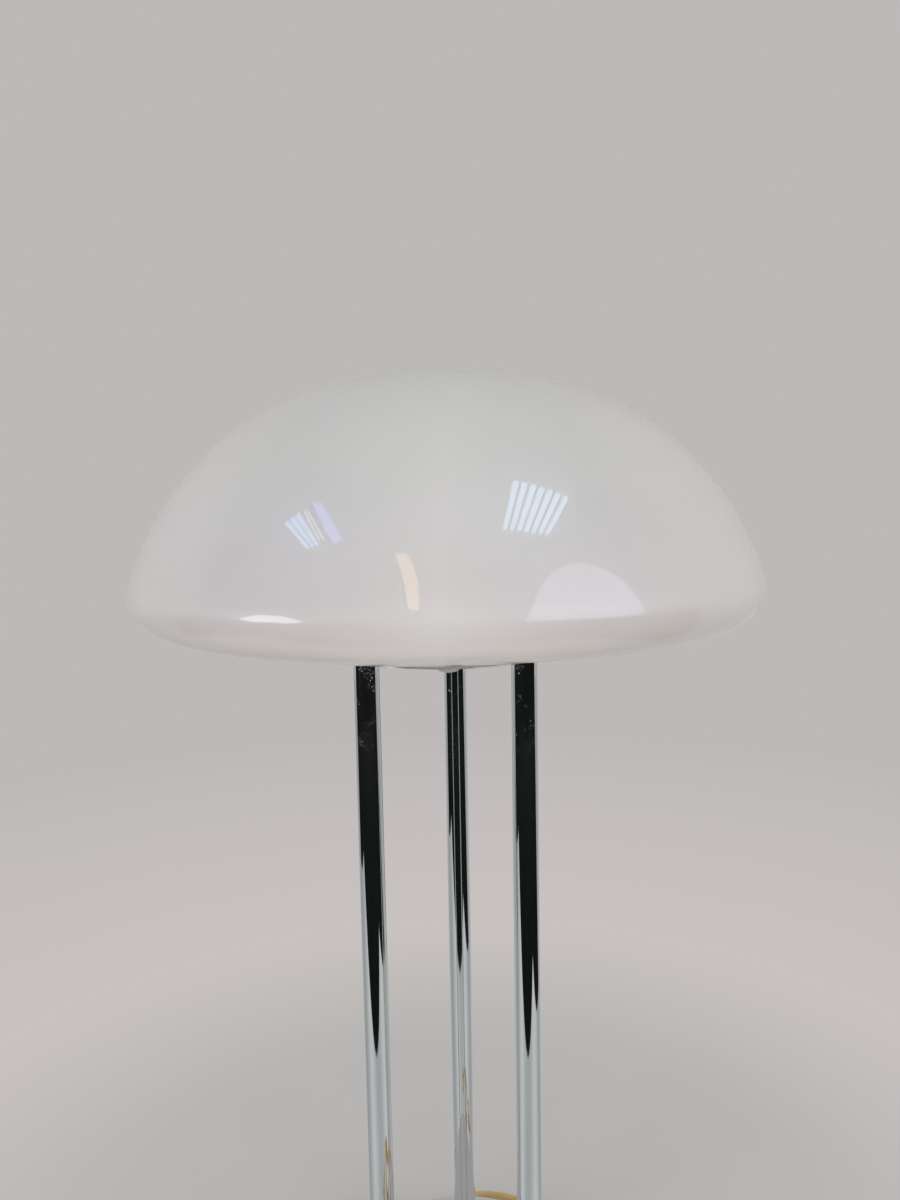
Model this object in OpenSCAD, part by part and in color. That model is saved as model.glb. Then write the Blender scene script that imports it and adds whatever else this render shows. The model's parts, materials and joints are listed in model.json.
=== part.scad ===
// Mushroom table lamp. An opal glass shade lies on a round plate, which three chrome tubes carry
// above a weighted round base. Sizes are in millimetres. The origin is the middle of the base on
// the table, +Z is up, and +Y points to the tube at the back.

/* [Overall] */
// Height from the table to the top of the shade
lamp_h = 660; // [560:5:760]

/* [Glass shade] */
// Diameter of the shade at its widest circle
shade_d = 380; // [350:2:410]
// Thickness of the blown glass
glass_t = 4; // [3:0.5:6]
// Radius of the turned-in shoulder
shoulder_r = 22; // [17:0.5:27]
// Angle above the widest circle at which the shoulder passes into the side
shoulder_a = 17.4; // [12:0.2:24]
// Radius of the side's arc
side_r = 172; // [158:1:186]
// Angle at which the side passes into the crown
crown_a = 81.1; // [79:0.1:84]
// Slope of the underside in degrees
under_slope = 11; // [9:0.2:14]
// Width of the ground rim round the opening
rim_w = 3.5; // [3:0.5:5]
// Gap between the rim's inner wall and the plate's raised middle
rim_gap = 0.8; // [0.4:0.1:1.5]

/* [Carrier plate] */
// Thickness of the sheet
plate_t = 1.2; // [1:0.1:2]
// Height by which the middle stands above the flange
plate_rise = 5; // [4:0.5:8]
// Width of flange that shows outside the glass rim
plate_show = 0.5; // [0.3:0.1:2]
// Thickness of the clear ring between glass and plate
gasket_t = 0.5; // [0.4:0.1:1.2]
// Number of vent holes
vent_n = 12; // [6:1:16]
// Diameter of a vent hole
vent_d = 6; // [4:0.5:8]
// Diameter of the circle of vent holes
vent_pcd = 70; // [62:1:74]

/* [Tubes] */
// Diameter of the circle on which the tubes stand
tube_pcd = 111; // [104:1:120]
// Outer diameter of a tube
tube_d = 16; // [15:1:18]
// Wall of a tube
tube_wall = 1; // [0.8:0.1:1.2]
// Length of the threaded bush in each end of a tube
bush_h = 14; // [12:1:20]
// Gap round a tube's top inside the plate's raised middle
tube_gap = 1; // [0.6:0.1:2]

/* [Threaded nipples] */
// Outer diameter of the thread
nipple_d = 10; // [9:0.5:10.5]
// Bore of a nipple
nipple_bore = 7; // [6.5:0.1:7.5]
// Width of a nut across its flats
nut_af = 14; // [13:0.5:14]
// Height of a nut
nut_h = 4; // [3:0.5:5]
// Thickness of a washer
washer_t = 1.5; // [1:0.1:2]
// Diameter of a washer
washer_d = 17; // [16:0.5:17.5]

/* [Base] */
// Diameter of the base
base_d = 200; // [196:2:230]
// Height of the base
base_h = 30; // [29:1:36]
// Thickness of the spun cover
cover_t = 1.2; // [0.8:0.1:1.6]
// Radius of the cover's edge
edge_r = 8; // [6:0.5:9]
// Diameter of the cover's flat top
flat_d = 144; // [142:2:150]
// Slope of the cover between the flat top and the edge
cover_slope = 7; // [4:0.5:9]
// Height of the cover's lower edge above the table
skirt_z = 1; // [0.5:0.1:1.5]
// Thickness of the felt
felt_t = 2; // [1.6:0.1:3]
// Thickness of the floor plate
floor_t = 1.2; // [0.8:0.1:1.6]
// Height of the room for cables under the weight
room_h = 12; // [11:0.5:13]
// Depth of the pocket for the terminal block
pocket_h = 8; // [7:0.5:8.5]
// Distance of the screws that hold the floor plate in from the base's edge
boss_in = 16; // [14:1:20]

/* [Bulb] */
// Diameter of the glass bulb
bulb_d = 60; // [55:1:65]
// Height of the bulb's middle above its contact
bulb_mid = 75; // [70:1:78]

/* [Cord] */
// Diameter of the cord
cord_d = 5.6; // [5:0.1:5.8]
// Bearing at which the cord leaves the base, midway between two tubes
cord_bearing = 150; // [146:1:154]
// Length of the tapered sleeve outside the base
relief_len = 22; // [20:1:26]
// Distance between turns that lie side by side or on each other
coil_pitch = 6.05; // [6.05:0.05:6.4]

/* [Hidden] */
$fn = 64;

// Clearances
slip = 0.1;        // radial, round threads and shanks
bush_slip = 0.05;  // radial, round a bush in its tube
rest_gap = 0.3;    // between pieces that part when the lamp is taken apart

// Shade outline: shoulder, side and crown are arcs that meet without a kink
shade_r = shade_d / 2;
shoulder_c = [shade_r - shoulder_r, 0];
side_c = shoulder_c + (shoulder_r - side_r) * [cos(shoulder_a), sin(shoulder_a)];
crown_r = side_r + side_c[0] / cos(crown_a);
crown_z = side_c[1] + (side_r - crown_r) * sin(crown_a);
wide_z = lamp_h - crown_z - crown_r;
under_a = under_slope - 90;
pan_r = tube_pcd / 2 + tube_d / 2 + tube_gap + plate_t;
open_r = pan_r + rim_gap;
rim_r = open_r + rim_w;
lip_z = wide_z + shoulder_r * sin(under_a)
    - (shoulder_c[0] + shoulder_r * cos(under_a) - rim_r) * tan(under_slope);

// Heights of the carrier plate
flange_z = lip_z - gasket_t;
pan_z = flange_z + plate_rise;
tube_top = pan_z - plate_t;
carrier_r = rim_r + plate_show;

// Base: a stack of felt, floor plate, cable room, weight and cover
floor_z = felt_t + floor_t;
weight_z = floor_z + room_h;
weight_inset = cover_t + 0.8;
cover_in = base_h - cover_t;
boss_r = base_d / 2 - boss_in;
boss_bearings = [0, 120, 240];
floor_screw_r = 2;
floor_screw_len = 11;
floor_head_r = 4;
floor_head_h = 1.5;
bush_ir = nipple_d / 2 + slip;
clamped = 6;       // thickness of weight between a washer and the cover
lower_seat = cover_in - clamped;
nut_z = lower_seat - washer_t - nut_h;
thread_out = 1;    // thread that shows past a nut
thread_in = 10;    // thread that is screwed into a bush

// Cable inside the base
cord_z = weight_z - cord_d / 2 - 0.3;
exit_r = base_d / 2;
jacket_r = 22;     // where the jackets end on both sides of the terminal block
block = [20, 17, 12];
pocket_r = 28;
pocket_z = weight_z + pocket_h;
block_z = pocket_z - block[2];
wire_z = block_z + block[2] / 2;
pole_y = 4;
wire_d = 2.2;
lead_d = 4.6;

// Lampholder and bulb, measured up from the plate's middle
holder_z = pan_z;
entry_z = holder_z + 11.5;
contact_z = holder_z + 28;
sleeve_z = holder_z + 22;
sleeve_h = 34;
sleeve_r = 21;
sleeve_wall = 2.4;
sleeve_low_r = 17.8;  // inside radius of the collar over the insert
sleeve_top_r = 17.4;  // inside radius of the mouth round the bulb's neck
sleeve_band = 3;      // height of the grip band at the lower end
sleeve_bead = 0.6;
sleeve_flare = 0.8;
bulb_z = contact_z + rest_gap;
bulb_r = bulb_d / 2;
bulb_cap_r = 13.1;
cap_lo = bulb_z + 4.5;
cap_hi = bulb_z + 26;

// Switch on the cord: its middle on the table, its length along Y
switch_at = [151.5, -24, 0];
switch_half = 32;
switch_h = 17.5;
switch_split = 7;
switch_axis_z = 6.5;
rocker_z = 11.5;
rocker_r = 9.8;
rocker_tilt = 8;

// Coil: turns lie side by side in two layers, spiral in, climb and spiral out
coil_at = [116, -100];
coil_out_r = 41;
coil_steps = 24;      // rings in a turn
coil_mid = 73;        // rings from the start to the innermost point
coil_climb_half = 6;  // rings of the climb on each side of the innermost point
tie_t = 0.8;
tie_ring = 11;        // ring of the first turn at which the tie lies
coil_z = tie_t + 0.2 + cord_d / 2;
coil_n = 2 * coil_mid;
coil_in_r = coil_out_r - coil_pitch * coil_mid / coil_steps;
coil_end_run = 6;

// Plug: the tip of its sleeve, lying flat, with its pins towards -X
plug_at = [86, -166, 6.85];
plug_sleeve = 18;
plug_len = 36;
pin_len = 19;
pin_d = 4;
pin_gap = 18.6;

// Route of the cord from the base to the switch: round the back, where its top shows
bearing_dir = [cos(cord_bearing), sin(cord_bearing), 0];
function at_exit(out, z) = bearing_dir * (exit_r + out) + [0, 0, z];
lead_points = concat([at_exit(0, cord_z), at_exit(8, cord_z), at_exit(16, cord_z),
    at_exit(relief_len + 1, cord_z)], [
    [-115.7, 70.7, 11.2], [-119, 83.2, 8.8], [-115.7, 95.7, 6], [-106.5, 104.8, 3.7],
    [-94, 108.2, 2.8], [-82, 109, 2.8], [-70, 109.5, 2.8], [-57, 110, 2.8], [-44, 110.5, 2.8],
    [-31, 112.5, 2.8], [-19, 116.5, 2.8], [-8, 121, 2.8], [4, 124.5, 2.8], [16.5, 125.5, 2.8],
    [29, 124, 2.8], [41, 120.5, 2.8], [53, 116, 2.8], [65, 110.5, 2.8], [76.5, 104.5, 2.8],
    [88, 98, 2.8], [99, 91, 2.8], [109.5, 83.5, 2.8], [119.5, 75, 2.8], [128.5, 65.5, 3],
    [136.5, 55, 3.6], [143, 43.5, 4.6], [147.5, 31.5, 5.7], [150.5, 19.5, 6.4],
    switch_at + [0, switch_half, switch_axis_z]]);
// From the terminal block, up the back tube and over to the lampholder
lead_up = [[19, -11, 15], [27, -14.5, 12], [36, -12.5, 9], [41.5, -3, 8], [41.5, 9, 8],
    [36, 20, 8], [27, 29, 8], [17, 36.5, 8], [8, 43, 8], [3, 48.5, 8.5], [0.5, 53, 11],
    [0, tube_pcd / 2, 16], [0, tube_pcd / 2, 24], [0, tube_pcd / 2, pan_z + 4],
    [0, tube_pcd / 2, pan_z + 12], [0, tube_pcd / 2 - 3, pan_z + 20],
    [0, tube_pcd / 2 - 10, pan_z + 24.5], [0, tube_pcd / 2 - 18, pan_z + 23],
    [0, tube_pcd / 2 - 24.5, pan_z + 17.5], [0, 24, entry_z + 0.8], [0, 16, entry_z],
    [0, 7, entry_z]];

// Points on an arc in the plane of a section; first = 1 leaves out the point at a0
function arc(c, r, a0, a1, n, first = 0) = [for (i = [first:n])
    let (a = a0 + (a1 - a0) * i / n) [c[0] + r * cos(a), c[1] + r * sin(a)]];
function reversed(list) = [for (i = [len(list) - 1:-1:0]) list[i]];
function on_circle(bearing, r, z = 0) = [r * cos(bearing), r * sin(bearing), z];

// Sweeping a round tube along points without twist
function unit(v) = v / norm(v);
function square_to(v, t) = unit(v - t * (v * t));
function tangents(p) = [for (i = [0:len(p) - 1])
    unit(p[min(i + 1, len(p) - 1)] - p[max(i - 1, 0)])];
function carried(t, sides) = len(sides) == len(t) ? sides
    : carried(t, concat(sides, [square_to(sides[len(sides) - 1], t[len(sides)])]));
function tube_ring(p, t, s, r, n, turn) = [for (k = [0:n - 1])
    let (a = 360 * (k + turn) / n) p + r * (cos(a) * s + sin(a) * cross(t, s))];
function tube_faces(rings, n) = concat(
    [for (k = [1:n - 2]) [0, k, k + 1]],
    [for (i = [0:rings - 2], k = [0:n - 1]) [i * n + k, (i + 1) * n + k, (i + 1) * n + (k + 1) % n]],
    [for (i = [0:rings - 2], k = [0:n - 1])
        [i * n + k, (i + 1) * n + (k + 1) % n, i * n + (k + 1) % n]],
    [for (k = [1:n - 2]) [(rings - 1) * n, (rings - 1) * n + k + 1, (rings - 1) * n + k]]);
module swept(points, d, n = 8, turn = 0.5, side = [0, 0, 1]) {
    t = tangents(points);
    across = carried(t, [unit(cross(t[0], side))]);
    rings = [for (i = [0:len(points) - 1])
        each tube_ring(points[i], t[i], across[i], d / 2, n, turn)];
    polyhedron(rings, tube_faces(len(points), n));
}

function path_length(p) = len(p) < 2 ? 0
    : [for (i = [1:len(p) - 1]) norm(p[i] - p[i - 1])] * [for (i = [1:len(p) - 1]) 1];

// The coil's centreline: in along the lower layer, up in half a turn, out along the upper one
function coil_radius(i) = coil_in_r + coil_pitch * abs(i - coil_mid) / coil_steps;
function coil_climb(i) =
    let (s = min(1, max(0, (i - coil_mid + coil_climb_half) / (2 * coil_climb_half))))
    coil_pitch * s * s * (3 - 2 * s);
function coil_point(i) = let (a = -360 * i / coil_steps)
    [coil_at[0] + coil_radius(i) * cos(a), coil_at[1] + coil_radius(i) * sin(a),
        coil_z + coil_climb(i)];
coil_end_a = -360 * coil_n / coil_steps;
coil_turns = [for (i = [0:coil_n]) coil_point(i)];
coil_path = concat([coil_turns[0] + [0, coil_end_run, 0]], coil_turns,
    [coil_turns[coil_n] + coil_end_run * [sin(coil_end_a), -cos(coil_end_a), 0]]);
// From the switch to the coil
link_points = [switch_at + [0, -switch_half, switch_axis_z], [151.6, -64, 6.2],
    [153, -73, 5.2], [155.3, -81, 4.2], [156.8, -88, 3.8], coil_path[0]];
// From the coil to the plug
tail_points = [coil_path[coil_n + 2], [145, -131.7, 9.7], [139, -140.5, 9], [131, -148.7, 8.2],
    [121, -156, 7.4], [109.5, -162, 7], [98, -165.3, 6.9], plug_at];
least_gap = min([for (i = [0:coil_n - 13], j = [i + 12:coil_n])
    norm(coil_turns[i] - coil_turns[j])]) - cord_d;
cord_total = path_length(lead_points) + 2 * switch_half + path_length(link_points)
    + path_length(coil_path) + path_length(tail_points);
echo(least_gap_of_the_coil_to_itself = least_gap);
echo(cord_length_from_base_to_plug = cord_total);

// Section of the cover and of what fits inside it: flat top, slope, edge and wall
edge_c = [base_d / 2 - edge_r, base_h - edge_r * cos(cover_slope)
    - (base_d / 2 - edge_r + edge_r * sin(cover_slope) - flat_d / 2) * tan(cover_slope)];
function cover_line(inset, low) = concat([[0, base_h - inset],
    [flat_d / 2 - inset * tan(cover_slope / 2), base_h - inset]],
    arc(edge_c, edge_r - inset, 90 - cover_slope, 0, 8), [[base_d / 2 - inset, low]]);

// Repeated small shapes
module ring(ro, ri, h) {
    difference() {
        cylinder(h = h, r = ro);
        translate([0, 0, -1]) cylinder(h = h + 2, r = ri);
    }
}
module at_tubes() {
    for (bearing = [90, 210, 330]) translate(on_circle(bearing, tube_pcd / 2)) children();
}
module at_bosses() {
    for (bearing = boss_bearings) translate(on_circle(bearing, boss_r)) children();
}
module hex_nut(h) {
    difference() {
        cylinder(h = h, d = nut_af / cos(30), $fn = 6);
        translate([0, 0, -1]) cylinder(h = h + 2, r = nipple_d / 2 + slip);
    }
}
module chrome_tube(bearing) {
    color("gainsboro") translate(on_circle(bearing, tube_pcd / 2, base_h))
        ring(tube_d / 2, tube_d / 2 - tube_wall, tube_top - base_h);
}

// Base
module felt_pad() {
    color("darkolivegreen") difference() {
        cylinder(h = felt_t, r = base_d / 2 - cover_t - 2.5);
        at_bosses() translate([0, 0, -1]) cylinder(h = felt_t + 2, r = floor_head_r + 1);
    }
}
module floor_plate() {
    color("silver") difference() {
        translate([0, 0, felt_t]) cylinder(h = floor_t, r = base_d / 2 - cover_t - 0.8);
        at_bosses() cylinder(h = floor_z + 1, r = floor_screw_r + 0.2);
    }
}
module floor_screws() {
    color("silver") at_bosses() {
        translate([0, 0, felt_t - floor_head_h])
            cylinder(h = floor_head_h, r1 = 0.85 * floor_head_r, r2 = floor_head_r);
        translate([0, 0, felt_t]) cylinder(h = floor_screw_len, r = floor_screw_r);
    }
}
module base_weight() {
    color("dimgray") difference() {
        union() {
            rotate_extrude() polygon(concat(cover_line(weight_inset, weight_z), [[0, weight_z]]));
            at_tubes() translate([0, 0, weight_z]) cylinder(h = cover_in - weight_z, r = 14);
            at_bosses() translate([0, 0, floor_z]) cylinder(h = room_h + 2, r = 8);
        }
        at_tubes() cylinder(h = base_h, r = bush_ir);
        at_tubes() cylinder(h = lower_seat, r = 12);
        at_bosses() cylinder(h = felt_t + floor_screw_len + 1, r = floor_screw_r + slip);
        cylinder(h = pocket_z, r = pocket_r);
        rotate([0, 0, cord_bearing]) {
            for (s = [-1, 1]) translate([clamp_r, s * clamp_screw_y, 0])
                cylinder(h = weight_z + 8, r = screw_r + slip);
            translate([exit_r - 7, 0, cord_z]) rotate([0, 90, 0])
                cylinder(h = 8, r = relief_flange_r + 0.6);
        }
    }
}
module base_cover() {
    color("gainsboro") difference() {
        rotate_extrude() polygon(concat(cover_line(0, skirt_z),
            reversed(cover_line(cover_t, skirt_z))));
        at_tubes() cylinder(h = base_h + 1, r = bush_ir);
        rotate([0, 0, cord_bearing]) translate([base_d / 2 - 10, 0, cord_z])
            rotate([0, 90, 0]) cylinder(h = 20, r = relief_neck_r + slip);
    }
}
module lower_washers() {
    color("silver") at_tubes() translate([0, 0, lower_seat - washer_t])
        ring(washer_d / 2, bush_ir, washer_t);
}
module lower_nuts() {
    color("darkgoldenrod") at_tubes() translate([0, 0, nut_z]) hex_nut(nut_h);
}
module lower_nipples() {
    color("silver") at_tubes() translate([0, 0, nut_z - thread_out])
        ring(nipple_d / 2, nipple_bore / 2, base_h + thread_in - nut_z + thread_out);
}

// Cord entry: a grooved tapered sleeve, and a clamp under the weight
relief_neck_r = 4.8;
relief_flange_r = 6.6;
relief_r = 6.2;
relief_tip_r = 4;
clamp_r = exit_r - 28;
clamp_z = floor_z + 1.2;
clamp_screw_y = 8;
screw_r = 1.5;
module cord_relief() {
    groove = 0.7;
    rib = relief_len / 8;
    inner = -cover_t - 0.3;
    outline = concat([[inner - 2, cord_d / 2 + slip], [inner - 2, relief_flange_r],
        [inner, relief_flange_r], [inner, relief_neck_r], [0, relief_neck_r], [0, relief_r]],
        [for (i = [1:6]) let (r = relief_r + (relief_tip_r - relief_r) * i / 8)
            each [[rib * i, r], [rib * i, r - groove], [rib * (i + 0.4), r - groove],
                [rib * (i + 0.4), r]]],
        [[relief_len - 0.8, relief_tip_r], [relief_len, relief_tip_r - 0.6],
            [relief_len, cord_d / 2 + slip]]);
    color("darkgoldenrod") rotate([0, 0, cord_bearing]) translate([exit_r, 0, cord_z])
        rotate([0, 90, 0]) rotate_extrude() polygon([for (p = outline) [p[1], p[0]]]);
}
module cord_clamp() {
    half = clamp_screw_y + 4;
    groove_r = cord_d / 2 + slip;
    color("white") rotate([0, 0, cord_bearing]) difference() {
        translate([clamp_r - 4.5, -half, clamp_z]) cube([9, 2 * half, weight_z - clamp_z]);
        translate([clamp_r - 10, 0, cord_z]) rotate([0, 90, 0]) cylinder(h = 20, r = groove_r);
        translate([clamp_r - 10, -groove_r, cord_z]) cube([20, 2 * groove_r, weight_z]);
        for (s = [-1, 1]) translate([clamp_r, s * clamp_screw_y, 0]) {
            cylinder(h = weight_z + 1, r = screw_r + slip);
            cylinder(h = clamp_z + 2, r = 3.2);
        }
    }
}
module clamp_screws() {
    color("silver") rotate([0, 0, cord_bearing]) for (s = [-1, 1])
        translate([clamp_r, s * clamp_screw_y, clamp_z + 2]) {
            cylinder(h = weight_z + 5 - clamp_z, r = screw_r);
            translate([0, 0, -1.8]) cylinder(h = 1.8, r = 2.8);
        }
}

// Terminal block in the weight's pocket, in line with the cord
module in_block_line() {
    rotate([0, 0, cord_bearing]) children();
}
module terminal_block() {
    color("white") in_block_line() difference() {
        union() {
            translate([-block[0] / 2, -block[1] / 2, block_z + 2.4])
                cube([block[0], block[1], block[2] - 2.4]);
            for (x = [-5, 5], y = [-pole_y, pole_y]) translate([x, y, block_z])
                cylinder(h = 6, r = 3.4);
        }
        for (y = [-pole_y, pole_y]) translate([-block[0], y, wire_z]) rotate([0, 90, 0])
            cylinder(h = 2 * block[0], r = 2.5 + slip);
        for (x = [-5, 5], y = [-pole_y, pole_y]) translate([x, y, block_z - 1])
            cylinder(h = wire_z - block_z + 1, r = 1.5);
    }
}
module terminal_tubes() {
    color("goldenrod") in_block_line() for (y = [-pole_y, pole_y])
        difference() {
            translate([-8, y, wire_z]) rotate([0, 90, 0]) cylinder(h = 16, r = 2.5);
            translate([-9, y, wire_z]) rotate([0, 90, 0]) cylinder(h = 18, r = 1.4);
            for (x = [-5, 5]) translate([x, y, block_z]) cylinder(h = wire_z - block_z, r = 1.4);
        }
}
module terminal_screws() {
    color("silver") in_block_line() for (x = [-5, 5], y = [-pole_y, pole_y])
        translate([x, y, block_z + 1]) cylinder(h = wire_z - wire_d / 2 - slip - block_z - 1, r = 1.3);
}
module inner_cord() {
    color("darkgoldenrod") in_block_line() translate([jacket_r, 0, cord_z])
        rotate([0, 90, 0]) cylinder(h = exit_r - jacket_r, r = cord_d / 2);
}
module supply_wires() {
    for (s = [-1, 1]) color(s < 0 ? "saddlebrown" : "steelblue") in_block_line()
        swept([[jacket_r, s * 1.3, cord_z], [jacket_r - 3, s * 1.5, cord_z],
            [jacket_r - 6.5, s * 3, (cord_z + wire_z) / 2], [jacket_r - 10, s * pole_y, wire_z],
            [1, s * pole_y, wire_z]], wire_d, 6, 0);
}
module lamp_wires() {
    for (s = [-1, 1]) color(s < 0 ? "saddlebrown" : "steelblue") in_block_line()
        swept([[-jacket_r + 0.4, s * 1.2, 15], [-jacket_r + 4, s * 1.5, 15.5],
            [-jacket_r + 8, s * 3, (15.5 + wire_z) / 2], [-jacket_r + 11, s * pole_y, wire_z],
            [-1, s * pole_y, wire_z]], wire_d, 6, 0);
}
module holder_lead() {
    color("white") swept(lead_up, lead_d, 8);
}

// Stand
module tube_back() { chrome_tube(90); }
module tube_left() { chrome_tube(210); }
module tube_right() { chrome_tube(330); }
module tube_bush() {
    ring(tube_d / 2 - tube_wall - bush_slip, bush_ir, bush_h);
}
module lower_bushes() {
    color("silver") at_tubes() translate([0, 0, base_h]) tube_bush();
}
module upper_bushes() {
    color("silver") at_tubes() translate([0, 0, tube_top - bush_h]) tube_bush();
}
module upper_nipples() {
    color("silver") at_tubes() translate([0, 0, tube_top - thread_in])
        ring(nipple_d / 2, nipple_bore / 2,
            thread_in + plate_t + washer_t + nut_h + thread_out);
}
module carrier_plate() {
    bend = 0.8;
    wall_r = pan_r - plate_t;
    color("gainsboro") difference() {
        rotate_extrude() polygon(concat(
            [[0, tube_top], [0, pan_z]],
            arc([pan_r - bend, pan_z - bend], bend, 90, 0, 4),
            [[pan_r, flange_z], [carrier_r - 0.3, flange_z], [carrier_r, flange_z - 0.3],
                [carrier_r, flange_z - plate_t], [wall_r + bend, flange_z - plate_t]],
            arc([wall_r + bend, flange_z - plate_t + bend], bend, -90, -180, 4, 1),
            [[wall_r, tube_top]]));
        at_tubes() translate([0, 0, tube_top - 1]) cylinder(h = plate_t + 2, r = bush_ir);
        translate([0, 0, tube_top - 1]) cylinder(h = plate_t + 2, r = bush_ir);
        for (i = [0:vent_n - 1]) translate(on_circle(360 * (i + 0.5) / vent_n, vent_pcd / 2, tube_top - 1))
            cylinder(h = plate_t + 2, d = vent_d);
    }
}
module upper_washers() {
    color("silver") at_tubes() translate([0, 0, pan_z]) ring(washer_d / 2, bush_ir, washer_t);
}
module upper_nuts() {
    color("gainsboro") at_tubes() translate([0, 0, pan_z + washer_t]) hex_nut(nut_h);
}
module rim_gasket() {
    color("whitesmoke") translate([0, 0, flange_z]) ring(rim_r - 0.3, open_r, gasket_t);
}

// Lampholder, on a nipple through the plate's middle
module holder_nipple() {
    low = tube_top - washer_t - nut_h - 10;
    color("silver") translate([0, 0, low]) ring(nipple_d / 2, nipple_bore / 2, holder_z + 8 - low);
}
module holder_washer() {
    color("silver") translate([0, 0, tube_top - washer_t]) ring(washer_d / 2, bush_ir, washer_t);
}
module holder_nut() {
    color("silver") translate([0, 0, tube_top - washer_t - nut_h]) hex_nut(nut_h);
}
module nipple_cap() {
    top = tube_top - washer_t - nut_h - 5;
    h = 8;
    cap_r = 6.4;
    color("silver") translate([0, 0, top - h]) rotate_extrude() polygon(concat([[0, 0]],
        arc([cap_r - 1.2, 1.2], 1.2, -90, 0, 4), [[cap_r, h - 0.5], [cap_r - 0.5, h],
            [nipple_d / 2 + slip, h], [nipple_d / 2 + slip, 1.8], [0, 1.8]]));
}
module holder_cap() {
    color("ivory") translate([0, 0, holder_z]) difference() {
        rotate_extrude() polygon(concat([[0, 0], [9, 0]],
            arc([9, 11], 11, -90, 0, 8, 1), [[20, 22], [17.6, 22], [17.6, 15], [16.6, 15]],
            arc([9, 11], 7.6, 0, -70, 6), [[9, 6.5], [0, 6.5]]));
        translate([0, 0, -1]) cylinder(h = 10, r = bush_ir);
        translate([0, 12, entry_z - holder_z]) rotate([-90, 0, 0])
            cylinder(h = 10, r = lead_d / 2 + 0.3);
    }
}
module holder_insert() {
    color("white") translate([0, 0, holder_z]) difference() {
        union() {
            translate([0, 0, 15]) cylinder(h = 9, r = 17.3);
            cylinder(h = 27, r = 12);
        }
        translate([0, 0, -1]) cylinder(h = 16, r = 14);
        for (s = [-1, 1]) translate([0, s * 8, 10]) cylinder(h = 20, r = 1.5);
    }
}
module holder_shell() {
    color("goldenrod") translate([0, 0, holder_z + 24]) ring(14.2, 13.5, 26);
}
module holder_contact() {
    color("goldenrod") translate([0, 0, holder_z + 27]) {
        translate([-9, -2.5, 0]) cube([18, 5, 0.4]);
        cylinder(h = 1, r1 = 3.4, r2 = 2.6);
    }
}
module holder_sleeve() {
    outer = [[sleeve_low_r, 0], [sleeve_r, 0], [sleeve_r + sleeve_bead, sleeve_bead],
        [sleeve_r + sleeve_bead, sleeve_band], [sleeve_r, sleeve_band + sleeve_bead],
        [sleeve_r + sleeve_flare, sleeve_h - 1],
        [sleeve_r + sleeve_flare - sleeve_bead, sleeve_h]];
    inner = [[sleeve_low_r, sleeve_band - 1], [sleeve_r - sleeve_wall, sleeve_band],
        [sleeve_r - sleeve_wall + 0.4, sleeve_h - 2], [sleeve_top_r, sleeve_h - 1.6],
        [sleeve_top_r, sleeve_h]];
    color("ivory") translate([0, 0, sleeve_z]) rotate_extrude()
        polygon(concat(outer, reversed(inner)));
}

// Bulb
module bulb_glass() {
    mid = bulb_z + bulb_mid;
    neck_r = 15;
    flare = 38;
    wall = 0.9;
    neck_z = mid - (bulb_r * cos(flare) + (bulb_r * cos(flare) - 6) / 2);
    outer = concat([[11.6, cap_hi - 8], [11.6, cap_hi], [12.8, cap_hi], [neck_r - 1, cap_hi + 3],
        [neck_r, cap_hi + 8], [neck_r + 2, cap_hi + 15]],
        arc([0, mid], bulb_r, -90 + flare, 90, 18));
    inner = concat([[11.6 - wall, cap_hi - 8], [11.6 - wall, cap_hi],
        [neck_r - 1 - wall, cap_hi + 3], [neck_r - wall, cap_hi + 8],
        [neck_r + 2 - wall, cap_hi + 15]], arc([0, mid], bulb_r - wall, -90 + flare, 90, 18));
    color("white") rotate_extrude() polygon(concat(outer, reversed(inner)));
}
module bulb_cap() {
    color("silver") translate([0, 0, cap_lo]) rotate_extrude() polygon([[8.6, 0], [9.8, 0],
        [12.6, 1], [bulb_cap_r, 2], [bulb_cap_r, cap_hi - cap_lo], [11.9, cap_hi - cap_lo],
        [11.9, 2.4], [8.6, 1.2]]);
}
module bulb_insulator() {
    color("black") translate([0, 0, bulb_z + 1]) rotate_extrude() polygon([[0, 0.6], [4.9, 0.6],
        [5.2, 0], [9.6, cap_lo - bulb_z - 1], [0, cap_lo - bulb_z - 1]]);
}
module bulb_contact() {
    color("silver") translate([0, 0, bulb_z]) cylinder(h = 1.6, r1 = 3.6, r2 = 4.6);
}

// Shade
module glass_shade() {
    under = [shoulder_c[0] + shoulder_r * cos(under_a), shoulder_r * sin(under_a)];
    outer = concat([[rim_r, lip_z - wide_z]],
        arc(shoulder_c, shoulder_r, under_a, shoulder_a, 14),
        arc(side_c, side_r, shoulder_a, crown_a, 24, 1),
        arc([0, crown_z], crown_r, crown_a, 90, 12, 1));
    inner = concat([[open_r, lip_z - wide_z - rim_w * tan(under_slope)
            + glass_t / cos(under_slope)]],
        arc(shoulder_c, shoulder_r - glass_t, under_a, shoulder_a, 14),
        arc(side_c, side_r - glass_t, shoulder_a, crown_a, 24, 1),
        arc([0, crown_z], crown_r - glass_t, crown_a, 90, 12, 1));
    color("linen") translate([0, 0, wide_z]) rotate_extrude() polygon(concat(outer,
        reversed(inner), [[open_r, lip_z - wide_z]]));
}

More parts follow.
